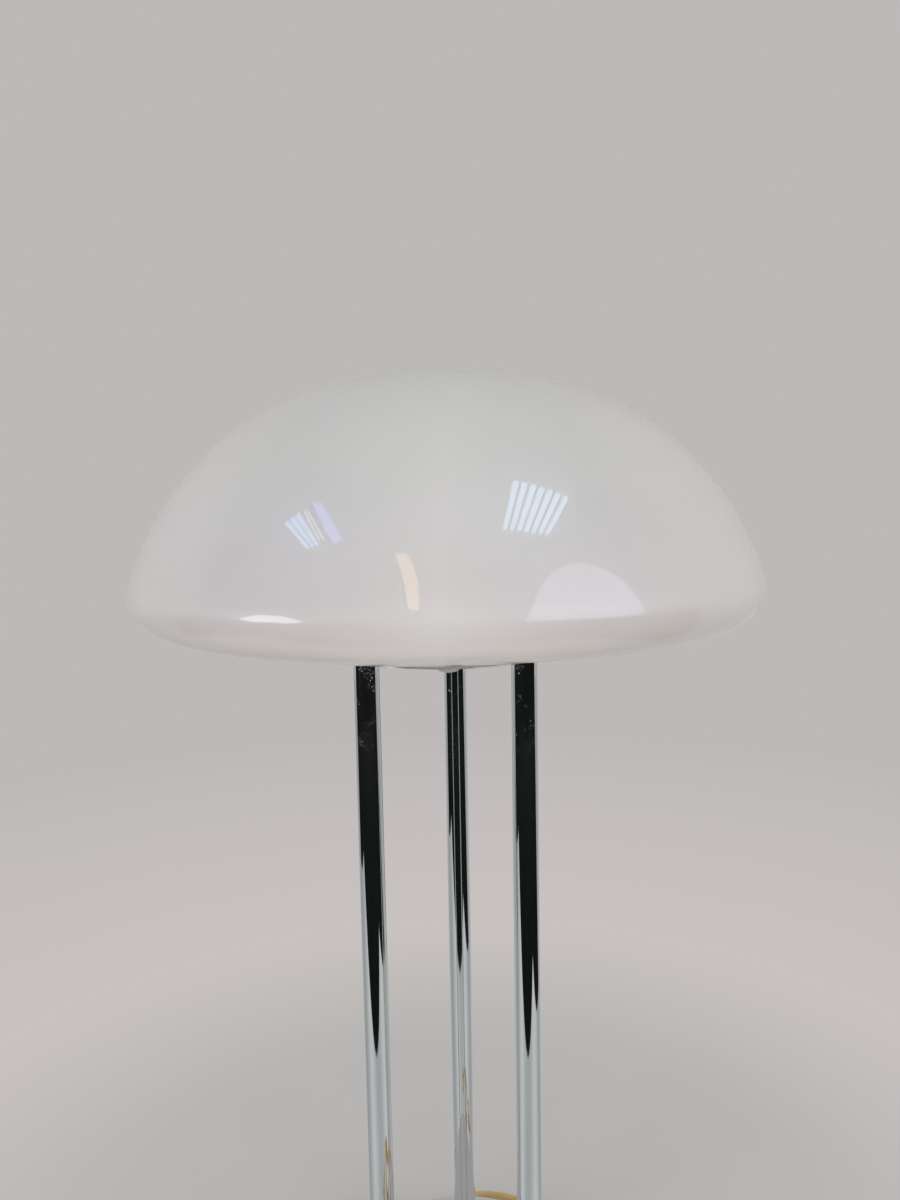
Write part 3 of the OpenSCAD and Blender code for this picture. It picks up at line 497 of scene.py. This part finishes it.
def closed_mesh(name, vertices, faces):
    """A mesh whose faces all look outwards."""
    mesh = bpy.data.meshes.new(name)
    mesh.from_pydata([tuple(v) for v in vertices], [], faces)
    mesh.validate()
    work = bmesh.new()
    work.from_mesh(mesh)
    bmesh.ops.recalc_face_normals(work, faces=work.faces)
    work.to_mesh(mesh)
    work.free()
    return mesh


def make_piece(name, vertices, faces, slot, body, replaced=(), sharp=35.0):
    mesh = closed_mesh(name, [Vector(v) * MM for v in vertices], faces)
    mesh.shade_smooth()
    mesh.set_sharp_from_angle(angle=math.radians(sharp))
    mesh.materials.append(SLOTS[slot])
    piece = added(name, mesh)
    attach(piece, body)
    if replaced:
        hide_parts(*replaced)
    return piece


def lathe(outline, turns=160, at=(0, 0), shape=None):
    """Vertices and faces of a closed outline of (radius, height), counterclockwise, turned about Z. shape gives the
    radius at a radius, a height and a bearing."""
    vertices, faces, rings = [], [], []
    for r, z in outline:
        count = 1 if r < 1e-6 else turns
        rings.append([len(vertices) + k for k in range(count)])
        for k in range(count):
            a = 360 * k / turns
            reach = shape(r, z, a) if shape else r
            vertices.append((at[0] + reach * cos(a), at[1] + reach * sin(a), z))
    for low, high in zip(rings, rings[1:] + rings[:1]):
        for k in range(turns):
            a, b = k, (k + 1) % turns
            corners = (low[a % len(low)], low[b % len(low)], high[b % len(high)], high[a % len(high)])
            face = list(dict.fromkeys(corners))
            if len(face) > 2:
                faces.append(face)
    return vertices, faces


def loft(sections):
    """A closed skin over sections that all have the same number of points."""
    count = len(sections[0])
    faces = [tuple(range(count)), tuple(range(count * (len(sections) - 1), count * len(sections)))]
    for i in range(len(sections) - 1):
        for k in range(count):
            a, b = i * count + k, i * count + (k + 1) % count
            faces.append((a, b, b + count, a + count))
    return [point for section in sections for point in section], faces


def box(low, high):
    corners = ((low[0], low[1]), (high[0], low[1]), (high[0], high[1]), (low[0], high[1]))
    return loft([[(x, y, z) for x, y in corners] for z in (low[2], high[2])])


def carved(solid, cutters=(), bevel=0.0):
    """Vertices and faces of a solid after others are cut from it and its sharp edges are rounded."""
    shapes = [added("shape", closed_mesh("shape", vertices, faces)) for vertices, faces in (solid, *cutters)]
    for cutter in shapes[1:]:
        cut = shapes[0].modifiers.new("cut", "BOOLEAN")
        cut.operation = "DIFFERENCE"
        cut.solver = "EXACT"
        cut.object = cutter
    if bevel:
        round_off = shapes[0].modifiers.new("bevel", "BEVEL")
        round_off.width = bevel
        round_off.segments = 3
        round_off.limit_method = "ANGLE"
        round_off.angle_limit = math.radians(40)
    mesh = shapes[0].evaluated_get(bpy.context.evaluated_depsgraph_get()).to_mesh()
    result = [v.co.copy() for v in mesh.vertices], [tuple(face.vertices) for face in mesh.polygons]
    for shape in shapes:
        data = shape.data
        bpy.data.objects.remove(shape)
        bpy.data.meshes.remove(data)
    return result


def placed(shape, place):
    return [place(*v) for v in shape[0]], shape[1]


def eased(x, low, high):
    t = min(1.0, max(0.0, (x - low) / (high - low)))
    return t * t * (3 - 2 * t)


def rounded(half_y, half_z, power, count=48):
    """Points of a section between an ellipse, power 2, and a box."""
    points = []
    for k in range(count):
        c, d = cos(360 * (k + 0.5) / count), sin(360 * (k + 0.5) / count)
        points.append((math.copysign(abs(c) ** (2 / power), c) * half_y,
                       math.copysign(abs(d) ** (2 / power), d) * half_z))
    return points


def upright(x, y, r, low, high):
    return lathe([(0, low), (r, low), (r, high), (0, high)], 32, (x, y))


def shade_arcs():
    """The arcs of the shade's outside from below upwards: centre, radius, first and last angle, and steps."""
    shoulder = (SHADE_R - SHOULDER_R, 0)
    side = [shoulder[i] + (SHOULDER_R - SIDE_R) * f(SHOULDER_A) for i, f in enumerate((cos, sin))]
    crown_r = SIDE_R + side[0] / cos(CROWN_A)
    crown_z = side[1] + (SIDE_R - crown_r) * sin(CROWN_A)
    arcs = [(shoulder, SHOULDER_R, UNDER_SLOPE - 90, SHOULDER_A, 24), (side, SIDE_R, SHOULDER_A, CROWN_A, 56),
            ((0, crown_z), crown_r, CROWN_A, 90, 10)]
    wide_z = LAMP_H - crown_z - crown_r
    return [((centre[0], centre[1] + wide_z), *rest) for centre, *rest in arcs]


def make_shade():
    def wall(t):
        points = []
        for centre, r, a0, a1, steps in shade_arcs():
            points += arc(centre, r - t, a0, a1, steps, 1 if points else 0)
        return on_axis(points)

    outer, inner = wall(0), wall(GLASS_T)
    slope = math.tan(math.radians(UNDER_SLOPE))
    lip = outer[0][1] - (outer[0][0] - RIM_R) * slope
    inner_lip = lip - (RIM_R - OPEN_R) * slope + GLASS_T / cos(UNDER_SLOPE)
    ease = 0.5
    outer = [(RIM_R - ease, lip), (RIM_R, lip + ease)] + outer
    inner = [(OPEN_R, lip + ease), (OPEN_R, inner_lip)] + inner
    outline = outer + inner[::-1] + [(OPEN_R + ease, lip)]
    return make_piece("shade_glass", *lathe(outline, 224), "opal_glass", "shade", ["glass_shade"])


def make_cover():
    blend, blend_run, ease = 66, 4, 0.3
    edge = (BASE_R - EDGE_R, BASE_H - EDGE_R * cos(COVER_SLOPE)
            - (BASE_R - EDGE_R + EDGE_R * sin(COVER_SLOPE) - FLAT_R) * math.tan(math.radians(COVER_SLOPE)))

    def line(t):
        bend = FLAT_R - t * math.tan(math.radians(COVER_SLOPE / 2))
        return ([(BASE_R - t, SKIRT_Z + (ease if t == 0 else 0))] + arc(edge, EDGE_R - t, 0, 90 - COVER_SLOPE, 24)
                + arc((bend - blend_run, BASE_H - t - blend), blend, 90 - COVER_SLOPE / 2, 90, 6)
                + [(0, BASE_H - t)])

    outline = [(BASE_R - ease, SKIRT_Z)] + line(0) + line(COVER_T)[::-1]
    return make_piece("base_shell", *lathe(outline, 224), "chrome", "lamp", ["base_cover"])


def make_nipple_cap():
    """The cap on the end of the plate's middle nipple, with a domed end that shows under the shade's rim."""
    r, h, bore, floor = 6.9, 8.1, 5.1, 1.8
    dome, dome_r, grip_depth = 1.1, 5.9, 0.12
    ball = (dome_r * dome_r + dome * dome) / (2 * dome)
    end = math.degrees(math.asin(dome_r / ball))
    outline = on_axis(arc((0, CAP_TOP - h - dome + ball), ball, -90, end - 90, 8))
    outline += arc((r - 1, CAP_TOP - h + 1), 1, -80, 0, 6) + [(r, CAP_TOP - 0.5), (r - 0.5, CAP_TOP)]
    outline += [(bore, CAP_TOP), (bore, CAP_TOP - h + floor), (0, CAP_TOP - h + floor)]

    def grip(x, z, a):
        return x - (grip_depth * (1 + cos(40 * a)) if x > r - 0.01 else 0)

    return make_piece("nipple_cap_domed", *lathe(outline, 160, shape=grip), "grey_metal", "lamp", ["nipple_cap"])


def make_plate():
    """The plate that carries the shade: a raised pan with rolled bends, a flange that thins out, and holes."""
    pan_r, flange, t, bend, edge = 65.7, PAN_Z - 5, 1.2, 1.2, 0.35
    post_ring, post_hole, vent_ring, vent_r = 55.5, 5.2, 35, 3
    foot = PAN_Z - t - 0.3
    outline = arc((RIM_R + 0.5 - edge, flange - edge), edge, -90, 90, 8)
    outline += arc((pan_r + 0.5, flange + 0.5), 0.5, 270, 180, 4) + arc((pan_r - bend, PAN_Z - bend), bend, 0, 90, 8)
    outline += [(0, PAN_Z), (0, PAN_Z - t)] + arc((pan_r - t - 0.3, foot), 0.3, 90, 0, 4)
    outline += arc((pan_r, flange), t, 180, 270, 6)
    posts = [(0, 0)] + [(post_ring * cos(b), post_ring * sin(b)) for b in (90, 210, 330)]
    holes = [upright(x, y, post_hole, flange, PAN_Z + 1) for x, y in posts]
    holes += [upright(vent_ring * cos(b), vent_ring * sin(b), vent_r, flange, PAN_Z + 1) for b in range(15, 360, 30)]
    return make_piece("carrier_dish", *carved(lathe(outline, 192), holes), "chrome", "lamp", ["carrier_plate"])


def make_sleeve():
    """The holder's collar, with upright grip ribs between its band and its mouth."""
    z, ribs_deep, ribs_turn = SLEEVE_Z, 0.3, 48
    outer = [(17.8, z), (20.6, z), (21.0, z + 0.2), (21.6, z + 0.8)] + [(21.6, z + 3), (21.3, z + 3.5), (21.0, z + 4)]
    outer += [(21.05 + 0.75 * i / 28, z + 4 + i) for i in range(1, 29)]
    outer += arc((20.9, z + 33.1), 0.9, 0, 90, 6)
    inner = [(17.8, z + 2), (18.6, z + 3), (19, z + 32), (17.4, z + 32.4), (17.4, z + 34)]

    def ribs(r, height, a):
        depth = ribs_deep * eased(height, z + 4, z + 6) * (1 - eased(height, z + 29, z + 31)) if r > 20 else 0
        return r - depth * (1 - cos(ribs_turn * a))

    return make_piece("holder_collar", *lathe(outer + inner[::-1], 384, shape=ribs), "ivory_plastic", "lamp",
                      ["holder_sleeve"])


def make_bulb():
    top, mouth, skirt, wall = BULB_CAP[1], 11.6, 8, 0.9
    foot = [(12.8, top), (13.9, top + 3), (14.9, top + 8), (16.3, top + 14.2), (18.6, top + 21.1), (21.9, top + 27.9)]
    ball = arc((0, BULB_MID), BULB_R, -38, 90, 64)
    neck = [(p.x, p.y) for p in smooth_line([(r, z, 0) for r, z in foot] + [(*p, 0) for p in ball[:2]], 0.8)][:-1]
    outer = on_axis([(mouth, top - skirt), (mouth, top)] + neck + ball[1:])
    inner = [(mouth - wall, top - skirt), (mouth - wall, top)] + [(r - wall, z) for r, z in neck[3:]]
    inner += on_axis(arc((0, BULB_MID), BULB_R - wall, -36, 90, 40))
    return make_piece("bulb_envelope", *lathe(outer + inner[::-1], 128), "frosted_glass", "bulb", ["bulb_glass"])


def make_bulb_thread():
    """The bulb's metal cap with its rolled screw thread."""
    low, high = BULB_CAP
    pitch, crest, depth, thread_r = 3.63, 13.1, 0.45, 12.65
    rows = 64
    outer = [(8.6, low), (9.8, low), (11.6, low + 0.5), (12.5, low + 1.2)]
    outer += [(thread_r, low + 2 + (high - low - 3) * i / rows) for i in range(rows + 1)]
    outer += [(12.9, high - 0.6), (12.9, high), (11.75, high), (11.75, low + 2.4), (8.6, low + 1.2)]

    def thread(r, z, a):
        if r != thread_r:
            return r
        fade = eased(z, low + 2, low + 4) * (1 - eased(z, high - 3.5, high - 1.5))
        return crest - depth + depth * fade * cos(360 * z / pitch - a)

    return make_piece("bulb_thread", *lathe(outer, 96, shape=thread), "cap_metal", "bulb", ["bulb_cap"])


def at_switch(x, y, z):
    return SWITCH_AT[0] + y, SWITCH_AT[1] - x, z


def switch_solid():
    sections = []
    steps, shoulder_z, neck_z = 64, 11.9, 1.1
    for i in range(steps + 1):
        x = SWITCH_HALF * (2 * i / steps - 1)
        full = 1 - eased(abs(x), 11, SWITCH_HALF - 3)
        end = 0.5 * eased(abs(x), SWITCH_HALF - 1.2, SWITCH_HALF)
        low, high = neck_z * (1 - full), shoulder_z + (SWITCH_H - shoulder_z) * full
        middle, half_z = (low + high) / 2, (high - low) / 2 - end
        sections.append([(x, y, middle + z) for y, z in rounded(5.4 + 7.8 * full - end, half_z, 2 + 2 * full)])
    return loft(sections)


def make_switch():
    """The switch's two shells, parted by a fine groove, with a chamfered opening for the rocker."""
    solid = switch_solid()
    seam = 0.15
    base_cuts = [box((-40, -20, SWITCH_SPLIT - seam), (40, 20, 30)), box((-15, -9.5, 2), (15, 9.5, 20))]
    base_cuts += [upright(x, 0, 3, -1, 2.4) for x in (-20, 20)]
    base = carved(solid, base_cuts)
    slot_x, slot_y = ROCKER_R + 0.3, 6.3
    flare = 0.7
    levels = ((0, 0), (0, SWITCH_H - flare), (2 * flare, SWITCH_H + flare))
    mouth = loft([[(-slot_x - g, -slot_y - g, z), (slot_x + g, -slot_y - g, z), (slot_x + g, slot_y + g, z),
                   (-slot_x - g, slot_y + g, z)] for g, z in levels])
    cover = carved(solid, [box((-40, -20, -1), (40, 20, SWITCH_SPLIT)), mouth,
                           box((-15, -9.5, SWITCH_SPLIT - 1), (15, 9.5, SWITCH_H - 2))])
    return (make_piece("switch_lower_shell", *placed(base, at_switch), "gold_plastic", "lamp", ["switch_base"]),
            make_piece("switch_upper_shell", *placed(cover, at_switch), "gold_plastic", "lamp", ["switch_cover"]))


def make_rocker():
    top, dip, half = 5.4, 3.6, 5.9
    a = math.degrees(math.asin(top / ROCKER_R))
    reach = ROCKER_R * cos(a)
    steps, pin_hole = 16, 1.25
    outline = [(-reach + 2 * reach * i / steps, dip + (top - dip) * (2 * i / steps - 1) ** 2)
               for i in range(steps + 1)]
    outline += arc((0, 0), ROCKER_R, a, -20, 12, 1) + [(4, -3.6), (-4, -3.6)]
    outline += arc((0, 0), ROCKER_R, 200, 180 - a, 12)
    body = loft([[(x, y, z) for x, z in outline[:-1]] for y in (-half, half)])
    bore = loft([[(pin_hole * cos(b), y, pin_hole * sin(b)) for b in range(0, 360, 15)] for y in (-8, 8)])
    shape = carved(carved(body, bevel=0.45), [bore])

    def place(x, y, z):
        return at_switch(x * cos(ROCKER_TILT) + z * sin(ROCKER_TILT), y,
                         ROCKER_Z - x * sin(ROCKER_TILT) + z * cos(ROCKER_TILT))

    return make_piece("rocker_key", *placed(shape, place), "ivory_plastic", "rocker", ["switch_rocker"], 50)


def at_plug(x, y, z):
    return PLUG_AT[0] - x, PLUG_AT[1] - y, PLUG_AT[2] + z


def make_plug():
    """The moulded plug: a ribbed sleeve that widens into a flat body with finger grips."""
    widths = [(18, 6), (20, 6.1), (24, 7.3), (33, 11.6), (44, 17.1), (48, 17.4), (53.2, 17.4), (54, 16.7)]
    heights = [(18, 6), (20, 6), (26, 6.4), (33, 6.6), (53.2, 6.6), (54, 5.9)]

    def value(table, x):
        for (x0, v0), (x1, v1) in zip(table, table[1:]):
            if x <= x1:
                return v0 + (v1 - v0) * (x - x0) / (x1 - x0)
        return table[-1][1]

    sections = []
    ribs, rib_depth, steps = 6, 0.55, 72
    grip_depth, grip_pitch, half_h = 0.22, 2.8, 6.6
    for i in range(steps + 1):
        x = PLUG_SLEEVE * i / steps
        groove = eased(cos(360 * x * ribs / PLUG_SLEEVE), 0.1, 0.6) if 1.5 < x < PLUG_SLEEVE - 1.5 else 0
        r = 3.8 + 1.7 * x / PLUG_SLEEVE - rib_depth * groove - 0.5 * (1 - eased(x, 0, 0.7))
        sections.append([(x, y, z) for y, z in rounded(r, r, 2)])
    steps = 108
    for i in range(steps + 1):
        x = PLUG_SLEEVE + (PLUG_END - PLUG_SLEEVE) * i / steps
        grips = eased(x, 29, 31) * (1 - eased(x, 44, 46)) * grip_depth * (1 - cos(360 * (x - 30) / grip_pitch))
        power = 2 + 2.2 * eased(x, 20, 46)
        wide = value(widths, x)
        sections.append([(x, y, z * (1 - grips / half_h * (1 - eased(abs(y), 0.5 * wide, 0.9 * wide))))
                         for y, z in rounded(wide, value(heights, x), power)])
    return make_piece("plug_moulding", *placed(loft(sections), at_plug), "gold_plastic", "lamp", ["plug_body"])


make_shade()
make_cover()
make_plate()
make_nipple_cap()
make_sleeve()
make_bulb()
make_bulb_thread()
on_cord = [*make_switch(), make_rocker(), make_plug()]
on_cord += [nodes[n] for n in ("switch_pin", "switch_screws", "switch_terminals", "cord_tie", "plug_pins",
                               "plug_sleeves")]
[p * MM for p in cord_line]

# Stage, world and lamps
BACKDROP = (0.505, 0.482, 0.482)
FLOOR_LOW = (0.535, 0.515, 0.505)
FLOOR_HIGH = (0.56, 0.54, 0.53)
WALL_LOW = (0.575, 0.54, 0.53)
FADE = (0.30, 0.62, 1.6)  # metres from the lamp over which the floor passes into the wall's foot and the backdrop
FLOOR_HALF = 8
WORLD_COLOUR = (0.98, 1.0, 1.0)
WORLD_STRENGTH = 0.72


def rectangle(name, low, high, z):
    mesh = bpy.data.meshes.new(name)
    corners = [(low[0], low[1], z), (high[0], low[1], z), (high[0], high[1], z), (low[0], high[1], z)]
    mesh.from_pydata(corners, [], [(0, 1, 2, 3)])
    card = added(name, mesh)
    return card


def make_floor():
    """A pale floor that passes into the backdrop's own colour away from the lamp, so no horizon shows."""
    floor = rectangle("floor", (-FLOOR_HALF, -FLOOR_HALF), (FLOOR_HALF, FLOOR_HALF), 0)
    n = Nodes("floor", Roughness=0.8)
    n.shader.inputs["Specular IOR Level"].default_value = 0.15
    cloud = n.noise(2.5, 4.0)
    material = n.done(n.mixed(cloud, FLOOR_LOW, FLOOR_HIGH))
    far = n.add("ShaderNodeVectorMath", operation="LENGTH")
    n.plug(far, {0: n.place})
    fade = n.add("ShaderNodeMapRange", interpolation_type="SMOOTHSTEP")
    n.plug(fade, {"Value": far.outputs["Value"], "From Min": FADE[0], "From Max": FADE[1]})
    up = n.scaled(far.outputs["Value"], FADE[1], FADE[2])
    glow = n.plug(n.add("ShaderNodeEmission"), {"Color": n.mixed(up, WALL_LOW, BACKDROP)})
    mix = n.add("ShaderNodeMixShader")
    n.plug(mix, {0: fade.outputs[0], 1: n.shader.outputs[0], 2: glow.outputs[0]})
    n.show(mix.outputs[0])
    floor.data.materials.append(material)


def make_world():
    world = bpy.data.worlds.new("world")
    bpy.context.scene.world = world
    world.use_nodes = True
    tree = world.node_tree
    back = tree.nodes["Background"]
    back.inputs["Color"].default_value = (*WORLD_COLOUR, 1)
    back.inputs["Strength"].default_value = WORLD_STRENGTH
    seen = tree.nodes.new("ShaderNodeBackground")
    seen.inputs["Color"].default_value = (*BACKDROP, 1)
    rays = tree.nodes.new("ShaderNodeLightPath")
    mix = tree.nodes.new("ShaderNodeMixShader")
    shown = rays.outputs["Is Camera Ray"]
    for kind in ("Is Glossy Ray", "Is Transmission Ray"):
        either = tree.nodes.new("ShaderNodeMath")
        either.operation = "MAXIMUM"
        tree.links.new(shown, either.inputs[0])
        tree.links.new(rays.outputs[kind], either.inputs[1])
        shown = either.outputs[0]
    tree.links.new(shown, mix.inputs["Fac"])
    tree.links.new(back.outputs[0], mix.inputs[1])
    tree.links.new(seen.outputs[0], mix.inputs[2])
    tree.links.new(mix.outputs[0], tree.nodes["World Output"].inputs["Surface"])


# The dark room beyond the table in the photograph, which only reflections see. Metres
TABLE_X = (-0.88, 0.485)
TABLE_Y = (-0.385, 0.20)
ROOM = 4.0
DARK_Z = 0.0004


def reflected_only(card):
    card.visible_camera = card.visible_diffuse = card.visible_shadow = False
    card.visible_transmission = card.visible_volume_scatter = False


def make_dark_room():
    n = Nodes("dark_room", Roughness=1.0)
    n.shader.inputs["Specular IOR Level"].default_value = 0.0
    dark = n.done(n.mixed(n.noise(3.0), (0.004, 0.005, 0.005), (0.010, 0.011, 0.011)))
    for name, low, high in (
        ("dark_front", (-ROOM, -ROOM), (ROOM, TABLE_Y[0])),
        ("dark_left", (-ROOM, TABLE_Y[0]), (TABLE_X[0], TABLE_Y[1])),
        ("dark_right", (TABLE_X[1], TABLE_Y[0]), (ROOM, TABLE_Y[1])),
    ):
        card = rectangle(name, low, high, DARK_Z)
        card.data.materials.append(dark)
        reflected_only(card)


# The table round the lamp as reflections see it: grey, with paler stretches, each given by its bearing in degrees,
# how much it adds and how wide it is
TABLE_GREY = 0.375
TABLE_GLOWS = ((222, 0.26, 30), (328, 0.26, 30), (275, 0.05, 25), (62, 0.18, 24), (118, 0.18, 24))
TABLE_RING = (0.112, 2.4)
TABLE_Z = 0.0002


def make_table_glow():
    turns = 120
    mesh = bpy.data.meshes.new("table_glow")
    bearings = [360 * k / turns for k in range(turns)]
    corners = [(r * cos(b), r * sin(b), TABLE_Z) for r in TABLE_RING for b in bearings]
    mesh.from_pydata(corners, [], [(k, turns + k, turns + (k + 1) % turns, (k + 1) % turns) for k in range(turns)])
    glow = mesh.attributes.new("glow", "FLOAT", "POINT")
    for i in range(2 * turns):
        bearing = 360 * (i % turns) / turns
        away = [((bearing - at + 180) % 360 - 180) / wide for at, _, wide in TABLE_GLOWS]
        glow.data[i].value = TABLE_GREY + sum(g[1] * math.exp(-a * a) for g, a in zip(TABLE_GLOWS, away))
    card = added("table_glow", mesh)
    n = Nodes("table_glow")
    strength = n.plug(n.add("ShaderNodeAttribute", attribute_name="glow"), {}).outputs["Fac"]
    light = n.plug(n.add("ShaderNodeEmission"), {"Color": (0.97, 0.995, 1.0, 1), "Strength": strength})
    n.show(light.outputs[0])
    mesh.materials.append(n.material)
    reflected_only(card)


# Softboxes that only reflections see. Each is given by the outline of its reflection on the front of the shade, in
# pixels of the image, and stands where that outline throws the camera's rays. The sides of a slatted one run from
# the first two corners to the last two, and its slats lie side by side between them
CARD_FAR = 2.0
MARCH = 80  # steps of a ray towards the shade
CARD_LOW = 0.17  # no card reaches lower, where the tubes would show it
SOFTBOXES = {
    # name: (outline, strength, colour, slats, blank gap between slats)
    "window_left": ([(284, 523), (301, 511), (321, 545), (307, 549)], 6.6, (0.34, 0.56, 1.0), 3, 0.24),
    "window_mid": ([(303.5, 510), (309, 507.5), (326, 537), (320, 541)], 4.4, (0.86, 0.90, 1.0), 2, 0.5),
    "window_side": ([(313, 503), (322, 502), (344, 540), (333, 543)], 5.2, (0.28, 0.36, 1.0), 1, 0.0),
    "window_right": ([(513, 480), (572, 499), (551, 535.5), (502, 530)], 6.2, (0.46, 0.73, 1.0), 7, 0.34),
    "strip": ([(395, 554), (408, 553), (415, 567), (420, 585), (420, 610), (411, 610), (407, 591), (402, 570)],
              4.2, (1.0, 0.72, 0.40), 1, 0.0),
    "dome": ([(524, 621), (539, 623.4), (563, 624.2), (586, 623.8), (622, 619.9), (646, 613.4), (642, 607),
              (637, 596), (622, 579), (604, 569), (586, 563), (563, 566), (546, 578), (535, 594), (529, 609)],
             2.4, (0.86, 0.83, 1.0), 1, 0.0),
    "disc": ([(238.4, 618.6), (257, 614.8), (276, 615.4), (290, 618), (304, 622.4), (290, 624.7), (276, 625),
              (250, 622.4)], 5.2, (0.97, 0.96, 1.0), 1, 0.0),
}


def thrown(x, y):
    """The point where a pixel's ray ends after it meets the front of the shade and is reflected there, in metres."""
    right, up, forward = camera_axes()
    ray = (right * (x - IMAGE_W_PX / 2) + up * (IMAGE_H_PX / 2 - y) + forward * FOCAL_PX).normalized()
    at = Vector(CAMERA_AT) / MM
    for _ in range(MARCH):
        r = math.hypot(at.x, at.y)
        for centre, radius, _, a1, _ in shade_arcs():
            angle = math.degrees(math.atan2(at.z - centre[1], r - centre[0]))
            if angle <= a1:
                break
        at += ray * (math.hypot(at.z - centre[1], r - centre[0]) - radius)
    out = Vector((at.x / r * cos(angle), at.y / r * cos(angle), sin(angle)))
    card = at * MM + CARD_FAR * (ray - 2 * ray.dot(out) * out)
    card.z = max(card.z, CARD_LOW)
    return card


def make_softboxes():
    for name, (outline, strength, colour, slats, gap) in SOFTBOXES.items():
        corners = [thrown(*pixel) for pixel in outline]
        shapes = [corners]
        if slats > 1:
            shapes = []
            for k in range(slats):
                a, b = k / slats, (k + 1 - gap) / slats
                shapes.append([corners[0].lerp(corners[1], a), corners[0].lerp(corners[1], b),
                               corners[3].lerp(corners[2], b), corners[3].lerp(corners[2], a)])
        mesh = bpy.data.meshes.new(name)
        faces, count = [], 0
        for shape in shapes:
            faces.append(list(range(count, count + len(shape))))
            count += len(shape)
        mesh.from_pydata([corner for shape in shapes for corner in shape], [], faces)
        card = added(name, mesh)
        n = Nodes(name)
        glow = n.plug(n.add("ShaderNodeEmission"), {"Color": (*colour, 1), "Strength": strength})
        again = n.math("GREATER_THAN", n.add("ShaderNodeLightPath").outputs["Ray Depth"], 1.5)
        once = n.plug(n.add("ShaderNodeMixShader"), {0: again, 1: glow.outputs[0],
                                                     2: n.add("ShaderNodeBsdfTransparent").outputs[0]})
        n.show(once.outputs[0])
        mesh.materials.append(n.material)
        reflected_only(card)


# Lamps: name, place, size, watts and colour. All look at one point of the shade's stand
LAMP_AIM = (0, 0, 0.45)
LAMPS = (
    ("key", (-1.4, -1.6, 1.5), (1.6, 1.6), 16, (0.97, 0.985, 1.0)),
    ("fill", (1.8, -0.9, 1.2), (1.4, 1.4), 10, (1.0, 0.985, 0.96)),
    ("low", (0.2, -1.6, 0.25), (2.0, 0.5), 7, (1.0, 0.97, 0.94)),
)


def make_lamps():
    for name, at, size, watts, colour in LAMPS:
        data = bpy.data.lights.new(name, "AREA")
        data.shape = "RECTANGLE"
        data.size, data.size_y = size
        data.energy = watts
        data.color = colour
        lamp = added(name, data)
        lamp.location = at
        lamp.rotation_mode = "QUATERNION"
        lamp.rotation_quaternion = (Vector(LAMP_AIM) - Vector(at)).to_track_quat("-Z", "Y")
        lamp.visible_camera = lamp.visible_glossy = False


make_floor()
make_world()
make_dark_room()
make_table_glow()
make_lamps()
make_softboxes()

bpy.context.scene.view_settings.view_transform = "Standard"
